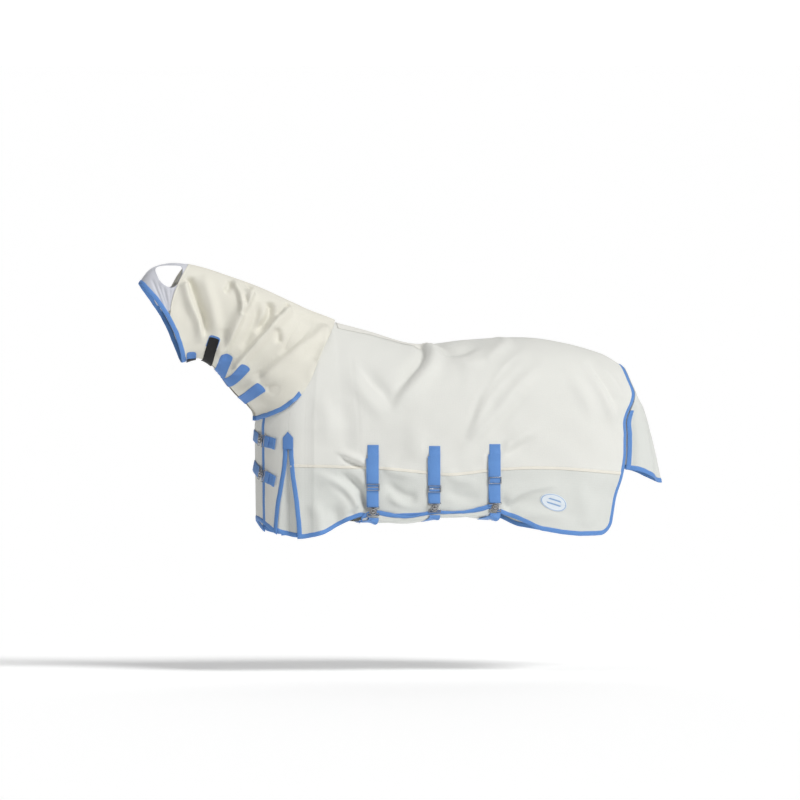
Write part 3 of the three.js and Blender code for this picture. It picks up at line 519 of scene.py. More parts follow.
# Shader groups, each built once and used by several materials
def newGroup(name, inputs, outputs):
    group = bpy.data.node_groups.new(name, "ShaderNodeTree")
    for kind, label, value in inputs:
        socket = group.interface.new_socket(label, in_out="INPUT", socket_type=kind)
        if value is not None:
            socket.default_value = value
    for kind, label in outputs:
        group.interface.new_socket(label, in_out="OUTPUT", socket_type=kind)
    return group, group.nodes.new("NodeGroupInput"), group.nodes.new("NodeGroupOutput")


def addNode(tree, kind, feeds=(), **settings):
    node = tree.nodes.new(kind)
    for key, value in settings.items():
        setattr(node, key, value)
    for slot, source in feeds:
        if hasattr(source, "is_output"):
            tree.links.new(source, node.inputs[slot])
        else:
            node.inputs[slot].default_value = source
    return node


def maths(tree, operation, a, b=0.0, clamp=False):
    node = addNode(tree, "ShaderNodeMath", [(0, a), (1, b)], operation=operation)
    node.use_clamp = clamp
    return node.outputs[0]


floatKind, vectorKind = "NodeSocketFloat", "NodeSocketVector"


# Threads crossing at right angles: Height is 1 on a thread and 0 in the middle of a hole
def buildWeave():
    group, given, result = newGroup("openWeave", [(vectorKind, "Vector", None), (floatKind, "Pitch", 0.003),
                                    (floatKind, "Grid", 0.02)],
                                    [(floatKind, "Height"), (floatKind, "Gridline")])
    split = addNode(group, "ShaderNodeSeparateXYZ", [(0, given.outputs["Vector"])])
    waves = []
    for pitch in ("Pitch", "Grid"):
        for axis in (0, 1):
            turns = maths(group, "DIVIDE", split.outputs[axis], given.outputs[pitch])
            waves.append(maths(group, "SINE", maths(group, "MULTIPLY", turns, 2 * math.pi)))
    top = maths(group, "MAXIMUM", waves[0], waves[1])
    group.links.new(maths(group, "MULTIPLY_ADD", top, 0.5), result.inputs["Height"])
    result.inputs["Height"].links[0].from_node.inputs[2].default_value = 0.5
    coarse = maths(group, "MAXIMUM", waves[2], waves[3])
    group.links.new(maths(group, "POWER", maths(group, "MAXIMUM", coarse, 0.0), 6.0),
                    result.inputs["Gridline"])
    return group


# Slow blotches and fine fibres over a cloth
def buildTone():
    group, given, result = newGroup("clothTone", [(vectorKind, "Vector", None), (floatKind, "Scale", 4.0)],
                                    [(floatKind, "Tone"), (floatKind, "Fibre")])
    slow = addNode(group, "ShaderNodeTexNoise",
                   [("Vector", given.outputs["Vector"]), ("Scale", given.outputs["Scale"]),
                   ("Detail", 3.0), ("Roughness", 0.55)])
    fine = addNode(group, "ShaderNodeTexNoise",
                   [("Vector", given.outputs["Vector"]), ("Scale", 420.0), ("Detail", 2.0)])
    group.links.new(slow.outputs[0], result.inputs["Tone"])
    group.links.new(fine.outputs[0], result.inputs["Fibre"])
    return group


# A row of stitches at Place across a tape, Pitch along it
def buildStitch():
    group, given, result = newGroup("stitchRow", [(vectorKind, "Vector", None), (floatKind, "Place", 0.017),
                                    (floatKind, "Pitch", 0.0045), (floatKind, "Width", 0.0005)],
                                    [(floatKind, "Mask")])
    split = addNode(group, "ShaderNodeSeparateXYZ", [(0, given.outputs["Vector"])])
    off = maths(group, "ABSOLUTE", maths(group, "SUBTRACT", split.outputs[1], given.outputs["Place"]))
    near = maths(group, "SUBTRACT", 1.0, maths(group, "DIVIDE", off, given.outputs["Width"]), clamp=True)
    turn = maths(group, "MULTIPLY", maths(group, "DIVIDE", split.outputs[0], given.outputs["Pitch"]),
                 2 * math.pi)
    dash = maths(group, "MULTIPLY_ADD", maths(group, "SINE", turn), 2.0, clamp=True)
    dash.node.inputs[2].default_value = 1.1
    group.links.new(maths(group, "MULTIPLY", near, dash), result.inputs["Mask"])
    return group


# Ribs across a woven tape, Slant turns them into a twill
def buildRib():
    group, given, result = newGroup("wovenRib", [(vectorKind, "Vector", None), (floatKind, "Pitch", 0.0014),
                                    (floatKind, "Slant", 0.0)], [(floatKind, "Height")])
    split = addNode(group, "ShaderNodeSeparateXYZ", [(0, given.outputs["Vector"])])
    lean = maths(group, "MULTIPLY", split.outputs[1], given.outputs["Slant"])
    turns = maths(group, "DIVIDE", maths(group, "ADD", split.outputs[0], lean), given.outputs["Pitch"])
    alongRib = maths(group, "SINE", maths(group, "MULTIPLY", turns, 2 * math.pi))
    across = maths(group, "DIVIDE", split.outputs[1], given.outputs["Pitch"])
    acrossRib = maths(group, "SINE", maths(group, "MULTIPLY", across, math.pi))
    both = maths(group, "MULTIPLY", alongRib, acrossRib)
    high = maths(group, "MULTIPLY_ADD", both, 0.5)
    high.node.inputs[2].default_value = 0.5
    group.links.new(high, result.inputs["Height"])
    return group


weaveGroup, toneGroup, stitchGroup, ribGroup = buildWeave(), buildTone(), buildStitch(), buildRib()


def startFinish(name):
    finish = bpy.data.materials.new(name)
    finish.use_nodes = True
    tree = finish.node_tree
    return finish, tree, tree.nodes["Principled BSDF"], addNode(tree, "ShaderNodeTexCoord")


def useGroup(tree, group, **feeds):
    node = tree.nodes.new("ShaderNodeGroup")
    node.node_tree = group
    for label, source in feeds.items():
        if hasattr(source, "is_output"):
            tree.links.new(source, node.inputs[label])
        else:
            node.inputs[label].default_value = source
    return node


def blendColour(tree, share, first, second, how="MIX"):
    mix = tree.nodes.new("ShaderNodeMix")
    mix.data_type = "RGBA"
    mix.blend_type = how
    for slot, source in ((0, share), (6, first), (7, second)):
        if hasattr(source, "is_output"):
            tree.links.new(source, mix.inputs[slot])
        else:
            mix.inputs[slot].default_value = (*source, 1) if isinstance(source, tuple) else source
    return mix.outputs[2]


def addBump(tree, shader, height, depth, strength=0.6):
    bump = addNode(tree, "ShaderNodeBump", [("Height", height), ("Strength", strength), ("Distance", depth)])
    tree.links.new(bump.outputs[0], shader.inputs["Normal"])


clothLooks = {
    # In each look, hole is painted shade seen through the open weave
    "bodyMesh": {"thread": (0.80, 0.80, 0.755), "hole": (0.60, 0.605, 0.57), "pitch": 0.0028, "grid": 0.0112},
    # The next look is the body look made darker and cooler: painted shade for the skirt, gussets, belly wrap and
    # tail flap
    "meshPaintedShade": {"thread": (0.72, 0.735, 0.70), "hole": (0.52, 0.54, 0.51), "pitch": 0.0028, "grid": 0.0112},
    "neckMesh": {"thread": (0.80, 0.78, 0.69), "hole": (0.62, 0.60, 0.52), "pitch": 0.0026, "grid": 0.0104},
}


def meshFinish(name):
    look = clothLooks[name]
    finish, tree, shader, place = startFinish(name)
    weave = useGroup(tree, weaveGroup, Vector=place.outputs["UV"], Pitch=look["pitch"], Grid=look["grid"])
    tone = useGroup(tree, toneGroup, Vector=place.outputs["Object"], Scale=5.0)
    # The holes of the weave take the darker hole colour: painted shade seen through the mesh
    colour = blendColour(tree, weave.outputs["Height"], look["hole"], look["thread"])
    line = maths(tree, "MULTIPLY", weave.outputs["Gridline"], 0.10)
    colour = blendColour(tree, line, colour, (0.95, 0.95, 0.92))
    shade = maths(tree, "MULTIPLY", maths(tree, "SUBTRACT", tone.outputs["Tone"], 0.42, clamp=True), 0.5)
    colour = blendColour(tree, shade, colour, tuple(0.82 * c for c in look["thread"]))
    speck = maths(tree, "MULTIPLY", maths(tree, "SUBTRACT", tone.outputs["Fibre"], 0.45, clamp=True), 0.5)
    colour = blendColour(tree, speck, colour, (0.93, 0.92, 0.88))
    tree.links.new(colour, shader.inputs["Base Color"])
    shader.inputs["Roughness"].default_value = 0.85
    shader.inputs["Sheen Weight"].default_value = 0.15
    shader.inputs["Sheen Roughness"].default_value = 0.5
    shader.inputs["Specular IOR Level"].default_value = 0.25
    addBump(tree, shader, weave.outputs["Height"], 0.0003, 0.5)
    return finish


# In each tape look, low is painted shade for the valleys between the ribs
tapeLooks = {
    "blueBinding": {"base": (0.135, 0.30, 0.66), "low": (0.08, 0.20, 0.50), "thread": (0.18, 0.38, 0.76),
                    "pitch": 0.0013, "slant": 0.0, "stitches": (0.0168,), "rough": 0.62},
    "blueWebbing": {"base": (0.14, 0.315, 0.69), "low": (0.085, 0.205, 0.50), "thread": (0.20, 0.42, 0.80),
                    "pitch": 0.0021, "slant": 0.9, "stitches": (), "rough": 0.5},
    "blueTab": {"base": (0.12, 0.27, 0.62), "low": (0.085, 0.20, 0.50), "thread": (0.20, 0.40, 0.78),
                "pitch": 0.0016, "slant": 0.5, "stitches": (), "rough": 0.6},
    "creamTape": {"base": (0.83, 0.80, 0.71), "low": (0.72, 0.69, 0.61), "thread": (0.88, 0.86, 0.79),
                  "pitch": 0.0013, "slant": 0.0, "stitches": (0.0025, 0.0105), "rough": 0.8},
    "creamPatch": {"base": (0.84, 0.83, 0.78), "low": (0.70, 0.69, 0.64), "thread": (0.9, 0.89, 0.84),
                   "pitch": 0.0026, "slant": 0.0, "stitches": (), "rough": 0.85},
    "hookTape": {"base": (0.012, 0.012, 0.013), "low": (0.003, 0.003, 0.003), "thread": (0.03, 0.03, 0.03),
                 "pitch": 0.0022, "slant": 1.0, "stitches": (), "rough": 0.55},
}


def tapeFinish(name):
    look = tapeLooks[name]
    finish, tree, shader, place = startFinish(name)
    rib = useGroup(tree, ribGroup, Vector=place.outputs["UV"], Pitch=look["pitch"], Slant=look["slant"])
    tone = useGroup(tree, toneGroup, Vector=place.outputs["Object"], Scale=18.0)
    # Rib valleys take the darker low colour: painted shade between the ribs
    colour = blendColour(tree, rib.outputs["Height"], look["low"], look["base"])
    fade = maths(tree, "MULTIPLY", tone.outputs["Tone"], 0.25)
    colour = blendColour(tree, fade, colour, look["thread"])
    height = rib.outputs["Height"]
    for place_ in look["stitches"]:
        row = useGroup(tree, stitchGroup, Vector=place.outputs["UV"], Place=place_)
        colour = blendColour(tree, row.outputs["Mask"], colour, look["thread"])
        height = maths(tree, "ADD", height, row.outputs["Mask"])
    tree.links.new(colour, shader.inputs["Base Color"])
    shader.inputs["Roughness"].default_value = look["rough"]
    shader.inputs["Sheen Weight"].default_value = 0.1
    shader.inputs["Specular IOR Level"].default_value = 0.3
    addBump(tree, shader, height, 0.00025, 0.6)
    return finish


def stretchFinish():
    finish, tree, shader, place = startFinish("stretchJersey")
    rib = useGroup(tree, ribGroup, Vector=place.outputs["UV"], Pitch=0.0012, Slant=0.0)
    tone = useGroup(tree, toneGroup, Vector=place.outputs["Object"], Scale=14.0)
    colour = blendColour(tree, tone.outputs["Tone"], (0.50, 0.51, 0.56), (0.68, 0.69, 0.74))
    tree.links.new(colour, shader.inputs["Base Color"])
    shader.inputs["Roughness"].default_value = 0.55
    shader.inputs["Sheen Weight"].default_value = 0.3
    addBump(tree, shader, rib.outputs["Height"], 0.0002, 0.3)
    return finish


nickelLook = {"colour": (0.46, 0.46, 0.47), "dull": (0.24, 0.24, 0.25), "rough": 0.16, "worn": 0.36}


def nickelFinish():
    finish, tree, shader, place = startFinish("nickelPlate")
    tone = useGroup(tree, toneGroup, Vector=place.outputs["Object"], Scale=60.0)
    colour = blendColour(tree, tone.outputs["Tone"], nickelLook["colour"], nickelLook["dull"])
    tree.links.new(colour, shader.inputs["Base Color"])
    rough = addNode(tree, "ShaderNodeMapRange", [("Value", tone.outputs["Fibre"]), (3, nickelLook["rough"]),
                    (4, nickelLook["worn"])])
    tree.links.new(rough.outputs[0], shader.inputs["Roughness"])
    shader.inputs["Metallic"].default_value = 1.0
    addBump(tree, shader, tone.outputs["Fibre"], 0.0001, 0.2)
    return finish


badge = {"halfLong": 0.075, "halfHigh": 0.037, "turn": -0.26, "field": (0.74, 0.80, 0.86),
         "line": (0.10, 0.27, 0.55)}


# Badge coordinates: U runs from -1 to 1 along it and V across it
def badgeFinish():
    finish, tree, shader, place = startFinish("badgeWeave")
    split = addNode(tree, "ShaderNodeSeparateXYZ", [(0, place.outputs["UV"])])
    across, up = split.outputs[0], split.outputs[1]
    radius = maths(tree, "SQRT", maths(tree, "ADD", maths(tree, "MULTIPLY", across, across),
                   maths(tree, "MULTIPLY", up, up)))
    ring = maths(tree, "ABSOLUTE", maths(tree, "SUBTRACT", radius, 0.90))
    ring = maths(tree, "SUBTRACT", 1.0, maths(tree, "MULTIPLY", ring, 22.0), clamp=True)
    bar = maths(tree, "ABSOLUTE",
                maths(tree, "SUBTRACT", maths(tree, "ABSOLUTE", maths(tree, "SUBTRACT", up, 0.05)), 0.26))
    bar = maths(tree, "SUBTRACT", 1.0, maths(tree, "MULTIPLY", bar, 7.0), clamp=True)
    inside = maths(tree, "LESS_THAN", maths(tree, "ADD", maths(tree, "ABSOLUTE", across),
                   maths(tree, "ABSOLUTE", maths(tree, "MULTIPLY", up, 0.7))), 0.66)
    marks = maths(tree, "MAXIMUM", ring, maths(tree, "MULTIPLY", bar, inside), clamp=True)
    rib = useGroup(tree, ribGroup, Vector=place.outputs["UV"], Pitch=0.03, Slant=0.6)
    # Rib valleys of the badge ground are 10% darker: painted shade between the ribs
    ground = blendColour(tree, rib.outputs["Height"], tuple(0.9 * c for c in badge["field"]), badge["field"])
    tree.links.new(blendColour(tree, marks, ground, badge["line"]), shader.inputs["Base Color"])
    shader.inputs["Roughness"].default_value = 0.6
    addBump(tree, shader, maths(tree, "ADD", rib.outputs["Height"], marks), 0.0002, 0.4)
    return finish


bodyMesh, meshPaintedShade, neckMesh = meshFinish("bodyMesh"), meshFinish("meshPaintedShade"), meshFinish("neckMesh")
blueBinding, blueWebbing, blueTab = tapeFinish("blueBinding"), tapeFinish("blueWebbing"), tapeFinish("blueTab")
creamTape, creamPatch, hookTape = tapeFinish("creamTape"), tapeFinish("creamPatch"), tapeFinish("hookTape")
stretchJersey, nickelPlate, badgeWeave = stretchFinish(), nickelFinish(), badgeFinish()
print("finishes ready")


# Edges of the body panels, as places in u and v
vGusset = float(vAt(body["gussetLine"], body["gussetTop"]))
slitGap = 0.012


def slitHalf(edge, v):
    return slitGap * smooth(vGusset - 0.02, vGusset + 0.02, v) + edge * smooth(vGusset, 1, v)


def chestEdge(v):
    return body["gussetLine"] - slitHalf(body["gussetLine"] - body["gussetFront"] - slitGap, v)


def sideEdge(v):
    return body["gussetLine"] + slitHalf(body["gussetRear"] - body["gussetLine"] - slitGap, v)


def seamV(u):
    return vAt(u, panelSeam(along(bodyPoint(np.maximum(u, 0.3), 0.6)[..., 0])))


def cornerCut(u):
    past = np.maximum(u - uRear + body["cornerRadius"], 0)
    rise = body["cornerRadius"] - np.sqrt(np.maximum(body["cornerRadius"] ** 2 - past ** 2, 0))
    return stepV(u, 0.9, rise)


# Behind the belly wrap the hem hangs lower
def hemDrop(u):
    x = body["shoulderX"] + u - 1
    return stepV(u, 0.9, 0.020 * smooth(wrapFront, wrapFront + 0.06, x)
                 * smooth(wrapRear, wrapRear - 0.06, x))


def gridOf(rows, columns):
    return np.meshgrid(np.linspace(0, 1, rows), np.linspace(0, 1, columns), indexing="ij")


def skinPanel(name, u, v, finish, far, lift=None):
    points, _ = bodySkin(u, v, body["clothLift"] if lift is None else lift)
    return clothPanel(name, points, finish, far)


def rideSheet(piece, bodyName, slotName, *nodes):
    if bodyName == "bends":
        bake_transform(piece)
    else:
        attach(piece, bodyName)
    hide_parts(*nodes)
    return piece


def addSidePanels(side, far):
    a, b = gridOf(250, 105)
    low = seamV(np.full(a.shape, 1.2))
    u = lerp(sideEdge(b * low), uRear, a)
    piece = skinPanel("body_cloth_" + side, u, b * seamV(u), bodyMesh, far)
    rideSheet(piece, "sheet", "mesh_cloth", "body_panel_" + side)
    a, b = gridOf(250, 48)
    u = lerp(sideEdge(lerp(low[0, 0], 1, b)), uRear, a)
    top = seamV(u)
    piece = skinPanel("skirt_cloth_" + side, u, lerp(top, 1 - cornerCut(u) + hemDrop(u), b), meshPaintedShade, far)
    rideSheet(piece, "sheet", "mesh_cloth", "skirt_panel_" + side)


def addSideBinding(side, far):
    v = np.linspace(vGusset + 0.004, 1, 50)
    slit = bindEdge("slitTape", bodySkin, (sideEdge(v), v), (sideEdge(v) + stepU(0.8, v, 0.02), v),
                    blueBinding, far)
    radius = body["cornerRadius"]
    hemU = np.linspace(float(sideEdge(1.0)), uRear - radius, 230)
    turn = np.linspace(0, math.pi / 2, 16)[1:]
    arcU = uRear - radius + radius * np.sin(turn)
    arcV = 1 - stepV(arcU, 0.9, radius * (1 - np.cos(turn)))
    rearV = np.linspace(arcV[-1], 0.03, 120)[1:]
    u = np.concatenate([hemU, arcU, np.full(rearV.shape, uRear)])
    v = np.concatenate([1 + hemDrop(hemU), arcV, rearV])
    lean = np.concatenate([np.zeros(hemU.shape), turn, np.full(rearV.shape, math.pi / 2)])
    inner = (u - stepU(np.minimum(u, uRear - 0.01), np.maximum(v, 0.05), 0.02) * np.sin(lean),
             v - stepV(u, 0.9, 0.02) * np.cos(lean))
    edge = bindEdge("hemTape", bodySkin, (u, v), inner, blueBinding, far)
    piece = joinPieces("edge_tape_" + side, [edge, slit])
    rideSheet(piece, "sheet", "binding", "edge_binding_" + side)


def addChest():
    a, b = gridOf(60, 130)
    u = lerp(body["closureU"], chestEdge(b), a)
    piece = skinPanel("chest_cloth_near", u, lerp(0.0005, 1, b), bodyMesh, False)
    rideSheet(piece, "sheet", "mesh_cloth", "chest_panel_near")
    a, b = gridOf(120, 130)
    u = lerp(-chestEdge(b), body["closureU"] + 0.04, a)
    under = -0.0042 * smooth(body["closureU"] - 0.05, body["closureU"], u)
    piece = skinPanel("chest_cloth_far", u, lerp(0.0005, 1, b), bodyMesh, False, body["clothLift"] + under)
    rideSheet(piece, "sheet", "mesh_cloth", "chest_panel_far")


def addChestBinding():
    closure = body["closureU"]
    v = np.linspace(0.004, 1, 120)
    front = bindEdge("frontTape", bodySkin, (np.full(v.shape, closure), v),
                     (closure + stepU(closure, v, 0.02), v), blueBinding)
    u = np.linspace(closure, float(chestEdge(1.0)), 40)
    low = bindEdge("frontHem", bodySkin, (u, np.ones(u.shape)), (u, 1 - stepV(u, 0.9, 0.02)), blueBinding)
    v = np.linspace(vGusset + 0.004, 1, 50)
    slit = bindEdge("slitTape", bodySkin, (chestEdge(v), v), (chestEdge(v) - stepU(0.55, v, 0.02), v),
                    blueBinding)
    piece = joinPieces("chest_tape_near", [front, low, slit])
    rideSheet(piece, "sheet", "binding", "chest_binding_near")
    u = np.linspace(-float(chestEdge(1.0)), closure + 0.03, 70)
    low = bindEdge("frontHem", bodySkin, (u, np.ones(u.shape)), (u, 1 - stepV(np.abs(u) + 0.01, 0.9, 0.02)),
                   blueBinding)
    slit = bindEdge("slitTape", bodySkin, (chestEdge(v), v), (chestEdge(v) - stepU(0.55, v, 0.02), v),
                    blueBinding,
                    far=True)
    piece = joinPieces("chest_tape_far", [low, slit])
    rideSheet(piece, "sheet", "binding", "chest_binding_far")


gusset = {"setBack": -0.006, "foldDepth": 0.022, "capWidth": 0.048, "capHeight": 0.078}


def addGusset(side, far):
    a, b = gridOf(26, 60)
    v = lerp(vGusset + 0.008, 0.992, b)
    u = lerp(chestEdge(v) - 0.035, sideEdge(v) + 0.035, a)
    fold = np.maximum(0, 1 - np.abs(2 * a - 1) * 1.4)
    lift = gusset["setBack"] - gusset["foldDepth"] * fold * smooth(0, 0.6, b)
    points, _ = bodySkin(u, v, lift)
    cloth = clothPanel("gussetCloth", points, meshPaintedShade, far)
    row = np.linspace(0, 1, 26)
    v = np.full(26, 0.992)
    u = lerp(chestEdge(v) - 0.035, sideEdge(v) + 0.035, row)
    fold = np.maximum(0, 1 - np.abs(2 * row - 1) * 1.4)
    drop = gusset["setBack"] - gusset["foldDepth"] * fold

    def foldSkin(uu, vv, lift):
        return bodySkin(uu, vv, drop + lift)

    low = bindEdge("gussetTape", foldSkin, (u, v), (u, v - stepV(u, 0.9, 0.02)), blueBinding, far)
    piece = joinPieces("gusset_cloth_" + side, [cloth, low])
    rideSheet(piece, "sheet", "mesh_cloth", "gusset_" + side)
    a, b = gridOf(14, 24)
    top = body["gussetTop"] + gusset["capHeight"] - 0.008
    v = vAt(body["gussetLine"], lerp(top, top - gusset["capHeight"], b))
    wide = np.where(b < 0.33, lerp(0.03, 1, b / 0.33), 1.0)
    u = body["gussetLine"] + (a - 0.5) * 2 * wide * stepU(body["gussetLine"], 0.6, gusset["capWidth"] / 2)
    points, _ = bodySkin(u, v, 0.0042)
    piece = clothPanel("gusset_patch_" + side, points, blueTab, far, thickness=0.0018)
    rideSheet(piece, "sheet", "binding", "gusset_cap_" + side)


def addSeamTape(side, far):
    a, b = gridOf(260, 5)
    u = lerp(float(sideEdge(vAt(0.75, -0.64))) + 0.002, uRear - 0.012, a)
    v = seamV(u) + (b - 0.5) * stepV(u, 0.7, 0.013)
    points, _ = bodySkin(u, v, 0.0022 + 0.0003 * np.sin(a * 190))
    piece = clothPanel("seam_tape_" + side + "_sewn", points, creamTape, far, thickness=0.0007)
    rideSheet(piece, "sheet", "seam_tape", "seam_tape_" + side)


withers = {"front": 0.018, "rear": 0.43, "frontReach": 0.092, "rearReach": 0.06}


def addWitherPatch():
    a, b = gridOf(70, 60)
    u = lerp(uAt(withers["front"]), uAt(withers["rear"]), a)
    reach = lerp(withers["frontReach"], withers["rearReach"], a) * np.where(a > 0.8,
            lerp(1, 0.45, (a - 0.8) / 0.2), 1)
    across = (b - 0.5) * 2
    v = np.abs(across) * stepV(u, 0.12, reach)
    near, _ = bodySkin(u, v, 0.003)
    points = np.where((across < 0)[..., None], mirrorY(near), near)
    points[..., 1] = np.where(np.abs(across) < 1e-9, 0, points[..., 1])
    piece = clothPanel("wither_patch", points, creamPatch, thickness=0.0009)
    rideSheet(piece, "sheet", "mesh_cloth", "wither_strip")


for sideName, isFar in (("near", False), ("far", True)):
    addSidePanels(sideName, isFar)
    addSideBinding(sideName, isFar)
    addGusset(sideName, isFar)
    addSeamTape(sideName, isFar)
addChest()
addChestBinding()
addWitherPatch()
print("body cloth and bindings made")


# Belly wrap: from its near edge, over the hem, down and under the belly to the far side
wrapCut = {
    "top": -0.832, "bend": -0.874, "bottom": -0.891, "lift": 0.0065, "rise": 0.020, "tuck": 0.030,
    "turnShare": 0.06, "corner": 0.045,
}
wrapTopLine = through([(0.078, -0.858), (0.105, -0.842), (0.14, -0.832), (0.20, -0.838), (0.27, -0.852),
                       (0.33, -0.853), (0.38, -0.836), (0.43, -0.831), (0.50, -0.836), (0.57, -0.829),
                       (0.63, -0.812), (0.68, -0.802), (0.705, -0.806)])


def wrapBreadth(x):
    u = uAt(x)
    return -bodyPoint(u, vAt(u, hem(x) + 0.008))[..., 1]


def wrapPoint(x, b):
    x, b = np.broadcast_arrays(np.asarray(x, float), np.asarray(b, float))
    share = (x - wrapFront) / (wrapRear - wrapFront)
    rise = wrapCut["rise"] * (smooth(0.25, 0.65, share) - 0.3 * smooth(0.92, 1, share))
    breadthHere = wrapBreadth(x)
    near = breadthHere + wrapCut["lift"]
    far = breadthHere - wrapCut["lift"] - 0.0025
    edge = wrapCut["turnShare"]
    bottom = wrapCut["bottom"]
    inCorner = np.maximum(wrapCut["corner"] - np.minimum(x - wrapFront, wrapRear - x), 0)
    cornerDrop = 0.75 * (wrapCut["corner"] - np.sqrt(np.maximum(wrapCut["corner"] ** 2 - inCorner ** 2, 0)))
    top = wrapTopLine(x) - cornerDrop - rise
    nearZ = lerp(top, wrapCut["bend"], np.clip(b / edge, 0, 1)) + rise
    up = np.clip((b - 1 + edge) / edge, 0, 1)
    farZ = lerp(wrapCut["bend"], wrapCut["bend"] + wrapCut["tuck"], up) + rise
    angle = np.clip((b - edge) / (1 - 2 * edge), 0, 1) * math.pi
    across = np.cos(angle)
    underY = -np.sign(across) * np.abs(across) ** 0.8 * np.where(across > 0, near, far)
    underZ = lerp(wrapCut["bend"], bottom, np.sin(angle) ** 0.8) + rise
    y = np.where(b < edge, -near, np.where(b > 1 - edge, far, underY))
    z = np.where(b < edge, nearZ, np.where(b > 1 - edge, farZ, underZ))
    sag = 0.006 * np.sin(share * 9.5 + 1.1) * np.sin(angle)
    return np.stack([x, y, z + sag], -1)


def wrapSkin(x, b, lift=0.0):
    x, b = np.broadcast_arrays(np.asarray(x, float), np.asarray(b, float))
    e = 0.004
    alongX = wrapPoint(x + e, b) - wrapPoint(x - e, b)
    alongB = wrapPoint(x, np.minimum(b + e, 1)) - wrapPoint(x, np.maximum(b - e, 0))
    normal = crossed(alongX, alongB)
    wave = 0.0025 * np.sin(x * 38 + 5 * b) * smooth(0.03, 0.1, b) * smooth(0.0, 0.1, 1 - b)
    return wrapPoint(x, b) + normal * (wave + lift)[..., None], normal


def addWrap():
    a, b = gridOf(150, 150)
    b = np.where(b < 0.2, b * 0.06 / 0.2, lerp(0.06, 1, (b - 0.2) / 0.8))
    points, _ = wrapSkin(lerp(wrapFront, wrapRear, a), b, 0.0006)
    piece = clothPanel("belly_wrap_cloth", points, meshPaintedShade)
    rideSheet(piece, "sheet", "mesh_cloth", "belly_wrap")
    x = np.linspace(wrapFront, wrapRear, 150)
    top = bindEdge("wrapTop", wrapSkin, (x, np.zeros(x.shape)), (x, np.full(x.shape, 0.035)), blueBinding,
                   pucker=0.0012)
    pieces = [top]
    for place, inside in ((wrapFront, 0.014), (wrapRear, -0.014)):
        b = np.linspace(0.0, 0.35, 60)
        x = np.full(b.shape, place)
        pieces.append(bindEdge("wrapEnd", wrapSkin, (x, b), (x + inside, b), blueBinding))
    piece = joinPieces("wrap_tape", pieces)
    rideSheet(piece, "sheet", "binding", "wrap_binding")


# Webbing along a path: across is its width direction and normal the side that faces out
def ribbon(name, path, across, normal, width, thick, finish):
    h, t, r = width / 2, thick, thick * 0.35
    section = [(h - r, t), (h - r * 0.3, t - r * 0.3), (h, t / 2), (h - r * 0.3, r * 0.3), (h - r, 0),
               (0, -0.00005),
               (-h + r, 0), (-h + r * 0.3, r * 0.3), (-h, t / 2), (-h + r * 0.3, t - r * 0.3), (-h + r, t),
               (0, t + 0.00005)]
    return sweepSection(name, path, across, normal, section, finish)


# Stitches: small flat-sided bars, each from one point to the next
def stitchRun(name, starts, ends, normals, finish, radius=0.00042):
    points, faces = [], []
    for start, end, normal in zip(starts, ends, normals):
        axis = end - start
        side = np.cross(normal, axis)
        side = side / max(np.linalg.norm(side), 1e-9) * radius
        base = len(points)
        for share, high, wide in ((0.0, 0.1, 0.5), (0.25, 1.0, 1.0), (0.75, 1.0, 1.0), (1.0, 0.1, 0.5)):
            middle = start + axis * share
            for s, n in ((-1, 0), (-0.6, 0.9), (0.6, 0.9), (1, 0)):
                points.append(middle + side * s * wide + normal * radius * n * high)
        for k in range(3):
            for j in range(4):
                p, q = base + 4 * k + j, base + 4 * k + (j + 1) % 4
                faces.append((p, p + 4, q + 4, q))
        faces.append((base, base + 1, base + 2, base + 3))
        faces.append((base + 15, base + 14, base + 13, base + 12))
    piece = newMesh(name, points, faces)
    work = bmesh.new()
    work.from_mesh(piece.data)
    bmesh.ops.recalc_face_normals(work, faces=work.faces)
    work.to_mesh(piece.data)
    work.free()
    piece.data.materials.append(finish)
    return piece


# Stitches along lines given as lists of places on a flat patch (across, along)
def stitchPattern(name, lines, toSpace, normal, finish, pitch=0.004):
    starts, ends = [], []
    for a, b in lines:
        a, b = np.array(a, float), np.array(b, float)
        count = max(int(np.linalg.norm(b - a) / pitch), 1)
        for k in range(count):
            starts.append(toSpace(a + (b - a) * (k + 0.12) / count))
            ends.append(toSpace(a + (b - a) * (k + 0.82) / count))
    return stitchRun(name, starts, ends, [normal] * len(starts), finish)


def threadFinish(name, colour):
    finish, tree, shader, place = startFinish(name)
    tone = useGroup(tree, toneGroup, Vector=place.outputs["Object"], Scale=300.0)
    tree.links.new(blendColour(tree, tone.outputs["Tone"], tuple(0.8 * c for c in colour), colour),
                   shader.inputs["Base Color"])
    shader.inputs["Roughness"].default_value = 0.55
    return finish


blueThread = threadFinish("blueThread", (0.22, 0.45, 0.84))

# Surcingle straps. Their frames stand at the hook's bar: z up the strap, y into the body, x across
straps = {
    "firstX": 0.140, "lastX": 0.683, "tops": (-0.540, -0.545, -0.538),
    "leans": (0.040, 0.022, 0.040), "barAboveWrap": 0.018, "width": 0.050, "thick": 0.0020,
    "layerBack": 0.0074, "layerFront": 0.0104, "returnLength": 0.215, "barRadius": 0.0022, "barClear": 0.0005,
    "stand": (0.00097, 0, 0.00002),
}


class Place:
    def __init__(self, point, up, inward):
        self.point = point
        self.z = unit(up)
        self.y = unit(inward - self.z * np.dot(inward, self.z))
        self.x = np.cross(self.y, self.z)

    def at(self, x, y, z):
        x, y, z = np.broadcast_arrays(*[np.asarray(k, float) for k in (x, y, z)])
        return self.point + x[..., None] * self.x + y[..., None] * self.y + z[..., None] * self.z


def inwardAt(u, v):
    e = 0.002
    return -crossed(bodyPoint(u + e, v) - bodyPoint(u - e, v), bodyPoint(u, v + e) - bodyPoint(u, v - e))


def wrapRiseAt(x):
    share = (x - wrapFront) / (wrapRear - wrapFront)
    return wrapCut["rise"] * (smooth(0.25, 0.65, share) - 0.3 * smooth(0.92, 1, share))


